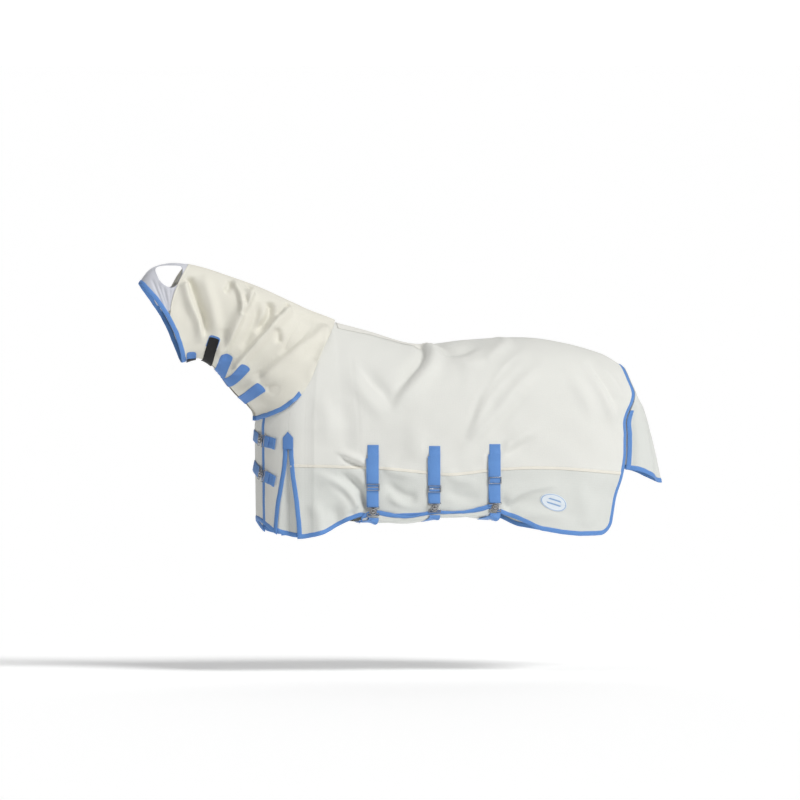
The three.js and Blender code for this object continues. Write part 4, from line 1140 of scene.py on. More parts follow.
def strapPlaceAt(k):
    x = lerp(straps["firstX"], straps["lastX"], k / 2)
    bar = wrapCut["top"] + wrapRiseAt(x) + straps["barAboveWrap"]
    u = uAt(x)
    v = vAt(u, bar)
    place = Place(bodyPoint(u, v), bodyPoint(u, v - 0.1) - bodyPoint(u, v), inwardAt(u, v))
    place.point = place.point - place.y * straps["stand"][k]
    return x, float(bar), place


# How deep the body's face lies from a frame's plane under a strap, least over its width
def dipUnder(place, placeAt):
    def dip(height):
        depths = []
        for side in (-0.5, 0, 0.5):
            x, z = side * straps["width"], height
            for _ in range(8):
                off = placeAt(x, z) - place.point
                x, z = x + side * straps["width"] - np.dot(off, place.x), z + height - np.dot(off, place.z)
            depths.append(np.dot(placeAt(x, z) - place.point, place.y))
        return min(depths)

    return dip


# The two layers of a strap that turns round the hook's bar, as heights off the body along its length
def loopPath(length, back, dip):
    loop = straps["barRadius"] + straps["barClear"]
    middle = straps["layerBack"] + loop
    sewn = 0.0044
    z = np.linspace(length, 0.004, 70)
    front = lerp(middle + loop, straps["layerFront"], smooth(0.008, 0.034, z))
    front = lerp(front, sewn, smooth(length * 0.80, length - 0.016, z))
    ripple = 0.0012 * np.sin(z * 55 + 1) * smooth(0, 0.05, z) * smooth(0, 0.05, length - z)
    down = np.stack([-(front + ripple) + np.array([dip(k) for k in z]), z], -1)
    angle = np.linspace(0, math.pi, 14)
    turn = np.stack([-middle - loop * np.cos(angle), -loop * np.sin(angle)], -1)
    zb = np.linspace(0.006, back, 50)
    rise = np.stack([-straps["layerBack"] + 0.0004 * np.sin(zb * 70) + np.array([dip(k) for k in zb]), zb],
                    -1)
    return down, np.concatenate([turn, rise])


def pathRibbon(name, place, path, width, finish, shift=0.0, lean=0.0):
    spots = place.at(shift + lean * path[:, 1], path[:, 0], path[:, 1])
    step = unit(np.gradient(spots, axis=0))
    across = np.broadcast_to(place.x, spots.shape)
    across = unit(across - step * np.sum(across * step, -1, keepdims=True))
    return ribbon(name, spots, -across, np.cross(across, step), width, straps["thick"], finish)


# Hook: a bar in the strap's loop, a neck and a round head. Plate: a rounded ring for the head, with a lower bar.
metal = {
    "barHalf": 0.0255, "neckHalf": 0.0065, "neckThick": 0.0026, "headAt": 0.0215, "headRadius": 0.0115,
    "headThick": 0.005,
    "front": 0.0155, "plateHalf": 0.021, "plateThick": 0.0022, "plateLift": 0.0112, "rodRadius": 0.0021,
    "sideThick": 0.0022, "ringRadius": 0.0165, "ringWide": 0.0062, "plateBar": 0.0034, "hookEdge": 0.0006,
    "plateEdge": 0.0005, "rimWide": 0.0028, "rimDeep": 0.0011, "dishWall": 0.0016, "dishWide": 0.0022,
}


# Joins one metal shape and rounds its edges. It is made once and copied to each strap
def finishMetal(pieces, bevel):
    piece = joinPieces("metalShape", pieces)
    pickOnly(piece)
    edge = piece.modifiers.new("edge", "BEVEL")
    edge.width, edge.segments, edge.limit_method, edge.angle_limit = bevel, 3, "ANGLE", math.radians(40)
    bpy.ops.object.modifier_apply(modifier="edge")
    bpy.ops.object.transform_apply(location=True, rotation=True, scale=True)
    bpy.ops.object.shade_smooth_by_angle(angle=math.radians(40))
    mesh = piece.data
    mesh.materials.clear()
    mesh.materials.append(nickelPlate)
    bpy.data.objects.remove(piece)
    return mesh


def placeMetal(shape, name, place):
    piece = bpy.data.objects.new(name, shape.copy())
    bpy.context.collection.objects.link(piece)
    rows = np.stack([place.x, place.y, place.z], -1).tolist()
    turn = Matrix([[*row, 0] for row in rows] + [[0, 0, 0, 1]])
    piece.data.transform(Matrix.Translation(Vector(place.point.tolist())) @ turn)
    return piece


def addBlock(size, at):
    bpy.ops.object.select_all(action="DESELECT")
    bpy.ops.mesh.primitive_cube_add(size=1, location=at)
    block = bpy.context.object
    block.scale = size
    bpy.ops.object.transform_apply(location=True, rotation=True, scale=True)
    return block


def addRod(radius, depth, at, turn, sides=32):
    bpy.ops.object.select_all(action="DESELECT")
    bpy.ops.mesh.primitive_cylinder_add(radius=radius, depth=depth, vertices=sides, location=at,
                                        rotation=turn)
    bpy.ops.object.transform_apply(location=True, rotation=True, scale=True)
    return bpy.context.object


def hookShape():
    bar = -(straps["layerBack"] + straps["barRadius"] + straps["barClear"])
    front, head, thick, wall = -metal["front"], -metal["headAt"], metal["neckThick"], metal["sideThick"]
    pieces = [addRod(metal["rodRadius"], 2 * metal["barHalf"], (0, bar, 0), (0, math.pi / 2, 0), 20)]
    for side in (-1, 1):
        x = side * (metal["barHalf"] + wall / 2)
        pieces.append(addBlock((wall, bar - front + wall, 0.0046), (x, (bar + front) / 2 - 0.0004, -0.0004)))
    pieces.append(addBlock((2 * metal["barHalf"] + 2 * wall, thick, 0.0042), (0, front - thick / 2, -0.0062)))
    pieces.append(addBlock((2 * metal["neckHalf"], thick, 0.016), (0, front - thick / 2, -0.013)))
    for side in (-1, 1):
        x = side * (metal["barHalf"] + wall / 2)
        pieces.append(addBlock((wall, thick, 0.0062), (x, front - thick / 2, -0.0045)))
    disc = addRod(metal["headRadius"], metal["headThick"], (0, front - metal["headThick"] / 2 - 0.0006, head),
                  (math.pi / 2, 0, 0), 40)
    bpy.ops.object.mode_set(mode="EDIT")
    bpy.ops.mesh.select_mode(type="FACE")
    bpy.ops.mesh.select_all(action="DESELECT")
    work = bmesh.from_edit_mesh(disc.data)
    work.faces.ensure_lookup_table()
    for face in work.faces:
        face.select_set(face.normal.y < -0.9)
    bmesh.update_edit_mesh(disc.data)
    bpy.ops.mesh.inset(thickness=metal["rimWide"])
    bpy.ops.transform.translate(value=(0, metal["rimDeep"], 0))
    bpy.ops.mesh.inset(thickness=metal["dishWall"])
    bpy.ops.mesh.inset(thickness=metal["dishWide"])
    bpy.ops.transform.translate(value=(0, -metal["dishWall"], 0))
    bpy.ops.object.mode_set(mode="OBJECT")
    pieces.append(disc)
    return finishMetal(pieces, metal["hookEdge"])


def plateShape():
    lift, thick, half = -metal["plateLift"], metal["plateThick"], metal["plateHalf"]
    ring = addRod(metal["ringRadius"], thick, (0, lift - thick / 2, -metal["headAt"]), (math.pi / 2, 0, 0),
                  48)
    bpy.ops.object.mode_set(mode="EDIT")
    bpy.ops.mesh.select_mode(type="FACE")
    bpy.ops.mesh.select_all(action="DESELECT")
    work = bmesh.from_edit_mesh(ring.data)
    for face in work.faces:
        face.select_set(abs(face.normal.y) > 0.9)
    bmesh.update_edit_mesh(ring.data)
    bpy.ops.mesh.inset(thickness=metal["ringWide"])
    bpy.ops.mesh.bridge_edge_loops()
    bpy.ops.object.mode_set(mode="OBJECT")
    pieces = [ring]
    base, bar = -metal["headAt"] - metal["ringRadius"], metal["plateBar"]
    for side in (-1, 1):
        pieces.append(addBlock((bar, thick, 0.013),
                               (side * (half + 0.0047), lift - thick / 2, base + 0.0035)))
    for high in (0.0083, -0.0012):
        pieces.append(addBlock((2 * half + 0.0128, thick, bar), (0, lift - thick / 2, base + high)))
    return finishMetal(pieces, metal["plateEdge"])


metalHook, metalPlate = hookShape(), plateShape()


def polishedCopy(name, node, bevel):
    copy = bpy.data.objects.new(name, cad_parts[node].data.copy())
    bpy.context.collection.objects.link(copy)
    work = bmesh.new()
    work.from_mesh(copy.data)
    bmesh.ops.remove_doubles(work, verts=work.verts, dist=1e-5)
    bmesh.ops.dissolve_limit(work, angle_limit=math.radians(2), verts=work.verts, edges=work.edges)
    work.to_mesh(copy.data)
    work.free()
    pickOnly(copy)
    edge = copy.modifiers.new("edge", "BEVEL")
    edge.width = bevel
    edge.segments = 3
    edge.limit_method = "ANGLE"
    edge.angle_limit = math.radians(35)
    bpy.ops.object.modifier_apply(modifier="edge")
    bpy.ops.object.shade_smooth_by_angle(angle=math.radians(40))
    copy.data.materials.clear()
    copy.data.materials.append(nickelPlate)
    return copy


def addStrap(k):
    number = str(k + 1)
    x, bar, place = strapPlaceAt(k)
    length = (straps["tops"][k] - bar) / place.z[2]
    back = min(straps["returnLength"], length - 0.045)
    down, turn = loopPath(length, back, lambda z: 0.0)
    front = pathRibbon("front", place, np.concatenate([down, turn[:8]]), straps["width"], blueWebbing)
    rear = pathRibbon("rear", place, turn[7:], straps["width"], blueWebbing, shift=-0.0035, lean=-0.012)
    h, low, high = 0.020, length - 0.044, length - 0.005

    def onFront(spot):
        lift = np.interp(-spot[1], -down[:, 1], down[:, 0])
        return place.at(spot[0], lift - straps["thick"] - 0.0001, spot[1])

    lines = [((-h, low), (h, low)), ((h, low), (h, high)), ((h, high), (-h, high)), ((-h, high), (-h, low)),
             ((-h, low), (h, high)), ((h, low), (-h, high))]
    seams = stitchPattern("seams", lines, onFront, -place.y, blueThread)
    piece = joinPieces("surcingle_webbing_" + number, [front, rear, seams])
    rideSheet(piece, "sheet", "webbing", "surcingle_strap_" + number)

    slider = polishedCopy("slider_wire_" + number, "strap_slider_" + number, 0.0008)
    rideSheet(slider, "slider_" + number, "nickel", "strap_slider_" + number)
    hook = placeMetal(metalHook, "hook_metal_" + number, place)
    rideSheet(hook, "hook_" + number, "nickel", "strap_hook_" + number)
    plate = placeMetal(metalPlate, "plate_metal_" + number, place)
    rideSheet(plate, "sheet", "nickel", "slot_plate_" + number)

    a = np.linspace(0, 1, 60)
    shift = straps["leans"][k] * smooth(0, 0.6, a)
    middle, normal = wrapSkin(x - shift, lerp(0.045, 0.3, a), 0.0046)
    step = unit(np.gradient(middle, axis=0))
    across = unit(np.cross(step, normal))
    strip = ribbon("wrapStrap", middle, across, normal, straps["width"], straps["thick"], blueWebbing)
    strip.name = "wrap_webbing_" + number
    rideSheet(strip, "sheet", "webbing", "wrap_strap_" + number)


closures = {"heights": (-0.525, -0.681), "nearLength": 0.072, "farLength": 0.095, "plateLift": 0.011}


def addClosure(k):
    name = ("upper", "lower")[k]
    u = body["closureU"] + float(stepU(body["closureU"], vAt(body["closureU"], -0.6), 0.02)) + 0.02
    v = vAt(u, closures["heights"][k])
    up = bodyPoint(u + 0.004, v + 0.0002) - bodyPoint(u - 0.004, v - 0.0002)
    place = Place(bodyPoint(u, v), up, inwardAt(u, v))
    alongU, alongV = float(stepU(u, v, 1.0)), float(stepV(u, v, 1.0))
    dip = dipUnder(place, lambda dv, z: bodyPoint(u + alongU * z, v + alongV * dv))
    down, turn = loopPath(closures["nearLength"], 0.030, dip)
    front = pathRibbon("front", place, np.concatenate([down, turn[:8]]), straps["width"], blueWebbing)
    rear = pathRibbon("rear", place, turn[7:], straps["width"], blueWebbing)
    h, low, high = 0.020, closures["nearLength"] - 0.046, closures["nearLength"] - 0.005

    def onFront(spot):
        lift = np.interp(-spot[1], -down[:, 1], down[:, 0])
        return place.at(spot[0], lift - straps["thick"] - 0.0001, spot[1])

    lines = [((-h, low), (h, low)), ((h, low), (h, high)), ((h, high), (-h, high)), ((-h, high), (-h, low)),
             ((-h, low), (h, high)), ((h, low), (-h, high))]
    seams = stitchPattern("seams", lines, onFront, -place.y, blueThread)
    piece = joinPieces("chest_webbing_near_" + name, [front, rear, seams])
    rideSheet(piece, "sheet", "webbing", "chest_strap_near_" + name)
    share = np.linspace(0, 1, 50)
    reach = -0.046 - share * closures["farLength"]
    lift = lerp(closures["plateLift"] + 0.0005, 0.0063, smooth(0, 0.3, share))
    path = np.stack([-lift + np.array([dip(k) for k in reach]), reach], -1)
    strap = pathRibbon("far", place, path, straps["width"], blueWebbing)
    h, low, high = 0.020, reach[-1] + 0.006, reach[-1] + 0.046

    def onFar(spot):
        lift = np.interp(-spot[1], -path[:, 1], path[:, 0])
        return place.at(spot[0], lift - straps["thick"] - 0.0001, spot[1])

    lines = [((-h, low), (h, low)), ((h, low), (h, high)), ((h, high), (-h, high)), ((-h, high), (-h, low)),
             ((-h, low), (h, high)), ((h, low), (-h, high))]
    seams = stitchPattern("seams", lines, onFar, -place.y, blueThread)
    piece = joinPieces("chest_webbing_far_" + name, [strap, seams])
    rideSheet(piece, "sheet", "webbing", "chest_strap_far_" + name)
    hook = placeMetal(metalHook, "chest_hook_metal_" + name, place)
    rideSheet(hook, "chest_hook_" + name + "_body", "nickel", "chest_hook_" + name)
    plate = placeMetal(metalPlate, "chest_plate_metal_" + name, place)
    rideSheet(plate, "sheet", "nickel", "chest_plate_" + name)


addWrap()
for strapIndex in range(3):
    addStrap(strapIndex)
for closureIndex in range(2):
    addClosure(closureIndex)
print("wrap, straps and closures made")


# Neck cover: q runs from the face opening to the rear edge, v from the crest to the throat
neck = {
    "crest": [(-0.868, 0.173), (-0.815, 0.238), (-0.742, 0.262), (-0.673, 0.262), (-0.580, 0.243),
              (-0.488, 0.213),
              (-0.370, 0.172), (-0.298, 0.143), (-0.162, 0.078), (-0.012, 0.004)],
    "throat": [(-0.676, -0.178), (-0.602, -0.160), (-0.538, -0.194), (-0.441, -0.312), (-0.386, -0.364),
               (-0.358, -0.405), (-0.356, -0.440)],
    "half": [(0, 0.084), (0.2, 0.082), (0.42, 0.096), (0.62, 0.118), (0.82, 0.160), (1, 0.195)],
    "lift": 0.008, "slot": 0.95, "seamFrom": 0.6, "pollSeam": 0.275, "pollDown": 0.47, "pollEnd": 0.05,
    "moveStart": (-0.02, 0, 0), "moveEnd": (-0.26, 0, 0), "crestBand": 0.014, "overlap": 0.032,
}


# A smooth line through points, by share of its length
def smoothLine(points):
    p = [np.array(k, float) for k in points]
    p = [2 * p[0] - p[1]] + p + [2 * p[-1] - p[-2]]
    line = []
    for i in range(1, len(p) - 2):
        d0, d1, d2 = (max(np.linalg.norm(p[i + k] - p[i + k - 1]) ** 0.5, 1e-4) for k in range(3))
        m1 = ((p[i] - p[i - 1]) / d0 - (p[i + 1] - p[i - 1]) / (d0 + d1) + (p[i + 1] - p[i]) / d1) * d1
        m2 = ((p[i + 1] - p[i]) / d1 - (p[i + 2] - p[i]) / (d1 + d2) + (p[i + 2] - p[i + 1]) / d2) * d1
        for t in np.linspace(0, 1, 40, endpoint=False):
            line.append(p[i] + m1 * t + (3 * (p[i + 1] - p[i]) - 2 * m1 - m2) * t * t
                        + (2 * (p[i] - p[i + 1]) + m1 + m2) * t ** 3)
    line = np.array(line + [p[-2]])
    share = np.concatenate([[0], np.cumsum(np.linalg.norm(np.diff(line, axis=0), axis=-1))])
    share /= share[-1]
    return lambda q: (np.interp(q, share, line[:, 0]), np.interp(q, share, line[:, 1]))


crestLine, throatLine, neckWidth = smoothLine(neck["crest"]), smoothLine(neck["throat"]), through(neck["half"])


def plainNeck(q, v):
    topX, topZ = crestLine(q)
    lowX, lowZ = throatLine(q)
    side = np.clip(np.abs(v), 0, 1)
    s = ((1 - np.cos(math.pi * side)) / 2) ** 1.08
    bow = lerp(0.026, 0.074, q * q) * np.sin(math.pi * s ** lerp(1, 1.35, q))
    chordX, chordZ = lowX - topX, lowZ - topZ
    long = np.hypot(chordX, chordZ)
    width = neckWidth(q) * np.sin(math.pi * side) ** 0.85
    return np.stack([lerp(topX, lowX, s) - chordZ / long * bow, width,
                     lerp(topZ, lowZ, s) + chordX / long * bow], -1)


# Where on the body a point in side view lies: its breadth there and how far its face looks sideways
def bodyBreadthAt(x, z):
    u, v = 0.9, 0.3
    for _ in range(40):
        here = bodyPoint(u, v)
        dx, dz = x - here[0], z - here[2]
        byU = (bodyPoint(u + 0.001, v) - bodyPoint(u - 0.001, v)) / 0.002
        byV = (bodyPoint(u, v + 0.001) - bodyPoint(u, v - 0.001)) / 0.002
        spread = byU[0] * byV[2] - byU[2] * byV[0]
        spread = spread if abs(spread) > 1e-6 else 1e-6
        u = float(np.clip(u + np.clip((dx * byV[2] - dz * byV[0]) / spread, -0.1, 0.1), 0.02, uRear))
        v = float(np.clip(v + np.clip((dz * byU[0] - dx * byU[2]) / spread, -0.1, 0.1), 0.02, 0.98))
    return bodyPoint(u, v)[1], abs(inwardAt(u, v)[1])


def rearShiftLine():
    steps, shifts = 24, [(0, 0)]
    for i in range(5, steps):
        plain = plainNeck(np.array(1.0), np.array(i / steps))
        under, sideways = bodyBreadthAt(plain[0], plain[2])
        shifts.append((i / steps, -under + neck["lift"] / max(sideways, 0.6) - plain[1]))
    crestEnd = shifts[1]
    shifts[1:1] = [(k / steps, crestEnd[1] * (k / steps / crestEnd[0]) ** 0.6) for k in range(1, 5)]
    return through(shifts + [(1, 0)])


rearShift = rearShiftLine()


def neckPoint(q, v):
    q, v = np.broadcast_arrays(np.asarray(q, float), np.asarray(v, float))
    side, up = np.where(v < 0, -1.0, 1.0), np.abs(v)
    point = plainNeck(q, up)
    point[..., 1] = -side * (point[..., 1] + smooth(0.66, 1, q) * rearShift(up))
    point[..., 2] += lerp(0, neck["lift"], smooth(0.7, 1, q)) * (1 - up)
    point[..., 0] += neck["overlap"] * smooth(0.86, 1, q) * (1 - smooth(0.14, 0.45, up))
    return point


def neckNormal(q, v):
    e = 0.004
    up = np.maximum(np.abs(v), 2 * e)
    n = crossed(neckPoint(q + e, up) - neckPoint(q - e, up), neckPoint(q, up + e) - neckPoint(q, up - e))
    n[..., 1] *= smooth(0, 0.03, np.abs(v))
    return unit(n) * np.where(v < 0, -1.0, 1.0)[..., None] ** np.array([0, 1, 0])


def stepQ(q, v, distance):
    q = np.clip(q, 0.002, 0.998)
    return distance * 0.004 / np.linalg.norm(neckPoint(q + 0.002, v) - neckPoint(q - 0.002, v), axis=-1)


neckFolds = [
    # behind the poll seam, down to the cheek
    ([(-0.659, 0.209), (-0.622, 0.098), (-0.591, 0.009), (-0.584, -0.065)], -0.010, 0.016, 0.3, 0.1, 0.3),
    ([(-0.674, 0.187), (-0.652, 0.098), (-0.607, -0.006), (-0.599, -0.095)], 0.009, 0.018, -0.3, 0.1, 0.3),
    ([(-0.600, 0.215), (-0.560, 0.11), (-0.535, 0.0), (-0.53, -0.08)], 0.006, 0.026, 0, 0.2, 0.4),
    # long folds from the crest down to the throat
    ([(-0.366, 0.142), (-0.396, 0.083), (-0.426, 0.024), (-0.471, -0.073), (-0.524, -0.184)], 0.014, 0.022,
     -0.4, 0.1, 0.15),
    ([(-0.411, 0.127), (-0.403, 0.068), (-0.422, 0.031)], -0.008, 0.014, 0, 0.3, 0.3),
    ([(-0.463, 0.187), (-0.433, 0.135), (-0.422, 0.076), (-0.426, 0.024)], 0.008, 0.015, 0.3, 0.2, 0.3),
    ([(-0.463, 0.187), (-0.48, 0.150), (-0.50, 0.135)], -0.006, 0.014, 0, 0.2, 0.4),
    ([(-0.200, 0.076), (-0.245, 0.031), (-0.275, 0.001), (-0.320, -0.051), (-0.373, -0.110), (-0.433, -0.184),
      (-0.448, -0.232)], 0.013, 0.020, 0.35, 0.1, 0.15),
    ([(-0.290, 0.098), (-0.298, 0.038), (-0.328, -0.006), (-0.366, -0.051)], -0.011, 0.018, 0, 0.15, 0.3),
    ([(-0.140, 0.038), (-0.140, -0.013), (-0.200, -0.080), (-0.260, -0.154)], -0.010, 0.020, 0, 0.15, 0.3),
    ([(-0.268, -0.021), (-0.260, -0.095)], -0.006, 0.016, 0, 0.3, 0.3),
    # broad folds over the shoulder
    ([(-0.034, 0.001), (-0.094, -0.065), (-0.170, -0.110), (-0.245, -0.169), (-0.320, -0.236),
      (-0.441, -0.325)],
     0.009, 0.028, 0.2, 0.15, 0.2),
    ([(-0.027, 0.001), (-0.049, -0.095), (-0.094, -0.184), (-0.155, -0.266)], 0.007, 0.024, 0, 0.15, 0.4),
    ([(-0.087, -0.162), (-0.110, -0.243)], -0.004, 0.020, 0, 0.3, 0.4),
    ([(-0.215, -0.333), (-0.185, -0.392)], 0.004, 0.016, 0, 0.3, 0.3),
    ([(-0.396, 0.179), (-0.366, 0.146)], -0.006, 0.010, 0, 0.1, 0.4),
    ([(-0.200, 0.083), (-0.245, 0.046), (-0.268, 0.024)], -0.006, 0.011, 0, 0.1, 0.4),
    ([(-0.36, -0.21), (-0.32, -0.27), (-0.26, -0.31)], -0.005, 0.022, 0, 0.3, 0.4),
    ([(-0.50, -0.02), (-0.49, -0.10), (-0.50, -0.17)], -0.006, 0.020, 0, 0.3, 0.3),
    ([(-0.345, 0.10), (-0.36, 0.03), (-0.39, -0.05), (-0.43, -0.12)], -0.007, 0.018, 0, 0.3, 0.3),
]


def neckSkin(q, v, lift=0.0):
    q, v = np.broadcast_arrays(np.asarray(q, float), np.asarray(v, float))
    point, normal = neckPoint(q, v), neckNormal(q, v)
    x, z, up = point[..., 0], point[..., 2], np.abs(v)
    wave = 2.6 * foldField(x, z, neckFolds) + ripple(x, z, 0.8, 0.11, 0.0012, 0.6) + ripple(x, z, -0.6, 0.075,
            0.0008, 2.2)
    onBody = smooth(0.72, 0.86, q)
    wave = np.where(onBody > 0, np.maximum(wave, lerp(-0.02, -0.003, onBody)), wave)
    wave *= smooth(0, 0.16, up) * smooth(0.0, 0.06, q) * smooth(0, 0.05, 1 - up)
    sewn = -0.0062 * smooth(0.8, 1, q) * (1 - smooth(0.5, 0.65, up))
    sewn -= 0.009 * smooth(0.9, 1, q) * smooth(0.03, 0.10, up) * (1 - smooth(0.24, 0.34, up))
    return point + normal * (wave + sewn + lift)[..., None], normal


def pollEdge(v):
    return lerp(neck["pollSeam"], neck["pollEnd"], np.minimum(np.abs(v) / neck["pollDown"], 1) ** 2)


def faceTape(v):
    return stepQ(np.full(np.shape(v), 0.01), v, 0.02)


# Narrow band over the join of the two panels along the crest
def crestSeam():
    q = np.linspace(neck["pollSeam"], 0.994, 200)
    ridge, _ = neckSkin(q, np.full(q.shape, 0.0008), 0.0012)
    ridge[:, 1] = -0.5 * neck["crestBand"]
    across, up = np.tile([0.0, 1.0, 0.0], (len(q), 1)), np.tile([0.0, 0.0, 1.0], (len(q), 1))
    section = tapeSection(neck["crestBand"], 0.003, -0.0016)
    return sweepSection("crestSeam", ridge, across, up, section, neckMesh)


def addNeckPanel(side, sign):
    a, b = gridOf(190, 150)
    v = lerp(0.0008, neck["slot"], b ** 0.95)
    start = np.where(v < neck["pollDown"], pollEdge(v),
                     lerp(neck["pollEnd"], 0.008, smooth(0, 0.05, v - neck["pollDown"]))) - 0.002
    points, _ = neckSkin(lerp(start, 0.996, a), v, 0.0006)
    piece = clothPanel("neck_cloth_" + side, points, neckMesh, far=sign < 0)
    if sign > 0:
        piece = joinPieces("neck_cloth_" + side, [piece, crestSeam()])
    rideSheet(piece, "bends", "neck_mesh", "neck_panel_" + side)
    v = np.linspace(neck["seamFrom"], neck["slot"], 110)
    rear = bindEdge("bibTape", neckSkin, (np.full(v.shape, 1.0), v),
                    (1 - stepQ(np.full(v.shape, 0.99), v, 0.02), v),
                    blueBinding, far=sign < 0, pucker=0.0009)
    rear.name = "bib_tape_" + side
    rideSheet(rear, "bends", "binding", "bib_binding_" + side)


def addFaceTape():
    v = np.concatenate([np.linspace(-neck["slot"], -0.001, 90), np.linspace(0.001, neck["slot"], 90)])
    piece = bindEdge("face_tape", neckSkin, (np.full(v.shape, 0.001), v), (faceTape(v), v), blueBinding,
                     pucker=0.001)
    rideSheet(piece, "neck_cover", "binding", "face_binding")


addNeckPanel("near", 1)
addNeckPanel("far", -1)
addFaceTape()

# Stretch poll piece, with an ear hole on each side
poll = {
    "hole": [(-0.792, 0.206), (-0.799, 0.231), (-0.789, 0.247), (-0.750, 0.255), (-0.692, 0.252),
             (-0.680, 0.239),
             (-0.683, 0.207), (-0.697, 0.180), (-0.720, 0.160), (-0.738, 0.156), (-0.764, 0.168),
             (-0.784, 0.188)],
    "gathers": [((-0.795, 0.187), (-0.746, 0.038)), ((-0.772, 0.165), (-0.742, 0.053)),
                ((-0.742, 0.157), (-0.740, 0.061)),
                ((-0.719, 0.165), (-0.738, 0.038)), ((-0.82, 0.20), (-0.765, 0.06)),
                ((-0.69, 0.20), (-0.715, 0.06))],
    "holeTape": 0.0055, "farWider": 0.014,
}
pollFolds = [([a, ((a[0] + b[0]) / 2, (a[1] + b[1]) / 2), b], -0.0035, 0.0065, 0, 0.25, 0.3) for a,
             b in poll["gathers"]]
pollFolds += [([(-0.755, 0.168), (-0.743, 0.11), (-0.740, 0.05)], 0.003, 0.008, 0, 0.2, 0.3)]


def pollSkin(q, v, lift=0.0):
    point, normal = neckSkin(q, v, lift)
    wave = foldField(point[..., 0], point[..., 2], pollFolds)
    return point + normal * wave[..., None], normal


# Place on the cover of a point in side view
def neckPlace(x, z, q, v):
    x, z = np.asarray(x, float), np.asarray(z, float)
    q, v = np.full(x.shape, float(q)), np.full(x.shape, float(v))
    for _ in range(60):
        here = neckPoint(q, v)
        byQ = (neckPoint(q + 0.002, v) - neckPoint(q - 0.002, v)) / 0.004
        byV = (neckPoint(q, v + 0.002) - neckPoint(q, v - 0.002)) / 0.004
        dx, dz = x - here[..., 0], z - here[..., 2]
        spread = byQ[..., 0] * byV[..., 2] - byQ[..., 2] * byV[..., 0]
        spread = np.where(np.abs(spread) < 1e-4, 1e-4, spread)
        q = q + np.clip((dx * byV[..., 2] - dz * byV[..., 0]) / spread, -0.04, 0.04)
        v = v + np.clip((dz * byQ[..., 0] - dx * byQ[..., 2]) / spread, -0.04, 0.04)
        q, v = np.clip(q, 0.003, 0.99), np.clip(v, 0.02, 0.99)
    return q, v


def holeLine(points, count):
    p = np.array(points)
    loop = foldLine([tuple(k) for k in np.vstack([p[-2:], p, p[:3]])], 8 * (len(p) + 5))
    start = np.argmin(np.linalg.norm(loop - p[0], axis=-1) + (np.arange(len(loop)) > len(loop) / 2))
    end = start + np.argmin(np.linalg.norm(loop[start + 10:] - p[0], axis=-1)) + 10
    loop = loop[start:end]
    far = np.concatenate([[0],
                          np.cumsum(np.linalg.norm(np.diff(np.vstack([loop, loop[:1]]), axis=0), axis=-1))])
    share = np.linspace(0, far[-1], count, endpoint=False)
    closed = np.vstack([loop, loop[:1]])
    return np.stack([np.interp(share, far, closed[:, 0]), np.interp(share, far, closed[:, 1])], -1)


def addPoll():
    a, b = gridOf(130, 260)
    v = lerp(-neck["pollDown"], neck["pollDown"], b)
    v = np.where(np.abs(v) < 1e-4, 1e-4, v)
    points, _ = pollSkin(lerp(faceTape(v) * 0.5, pollEdge(v), a), v, 0.0002)
    cloth = clothPanel("poll_cloth", points, stretchJersey, thickness=0.0009)
    outline = holeLine(poll["hole"], 72)
    away = outline + np.stack([poll["farWider"] * smooth(-0.77, -0.70, outline[:, 0]), 0 * outline[:, 0]], -1)
    count = len(outline)
    walls = [(k, (k + 1) % count, count + (k + 1) % count, count + k) for k in range(count)]
    rings = [[(x, -0.4, z) for x, z in outline], [(x, -0.001, z) for x, z in outline],
             [(x, 0.001, z) for x, z in away], [(x, 0.4, z) for x, z in away]]
    walls = [tuple(k + count * ring for k in wall) for ring in range(3) for wall in walls]
    cutter = newMesh("cutter", sum(rings, []),
                     walls + [tuple(range(count))[::-1], tuple(range(3 * count, 4 * count))])
    work = bmesh.new()
    work.from_mesh(cutter.data)
    bmesh.ops.recalc_face_normals(work, faces=work.faces)
    work.to_mesh(cutter.data)
    work.free()
    pickOnly(cloth)
    cut = cloth.modifiers.new("earHole", "BOOLEAN")
    cut.operation = "DIFFERENCE"
    cut.object = cutter
    cut.solver = "EXACT"
    bpy.ops.object.modifier_apply(modifier="earHole")
    bpy.data.objects.remove(cutter)
    cloth.data.polygons.foreach_set("use_smooth", [True] * len(cloth.data.polygons))
    pieces = [cloth]
    for far, line in ((False, outline), (True, away)):
        beyond = line + unit(line - line.mean(axis=0)) * 0.006
        edge, inner = neckPlace(line[:, 0], line[:, 1], 0.12, 0.18), neckPlace(beyond[:, 0], beyond[:, 1],
                0.12, 0.18)
        edgePoint, normal = pollSkin(edge[0], edge[1], 0.0)
        innerPoint, _ = pollSkin(inner[0], inner[1], 0.0)
        inward = unit(innerPoint - edgePoint)
        section = tapeSection(poll["holeTape"], 0.0026, -0.0008)
        pieces.append(sweepSection("holeTape", edgePoint, inward, normal, section, stretchJersey, far,
                                   closedPath=True))
    v = np.linspace(-neck["pollDown"], neck["pollDown"], 120)
    v = np.where(np.abs(v) < 1e-4, 1e-4, v)
    section = tapeSection(0.008, 0.0022, -0.0004)
    q = pollEdge(v)
    seamPoint, normal = neckSkin(q - 0.002, v, 0.0012)
    nextPoint, _ = neckSkin(q + 0.012, v, 0.0012)
    inward = unit(nextPoint - seamPoint)
    pieces.append(sweepSection("pollSeam", seamPoint, inward, normal, section, neckMesh))
    piece = joinPieces("poll_stretch", pieces)
    rideSheet(piece, "neck_cover", "stretch_cloth", "poll_piece")


addPoll()

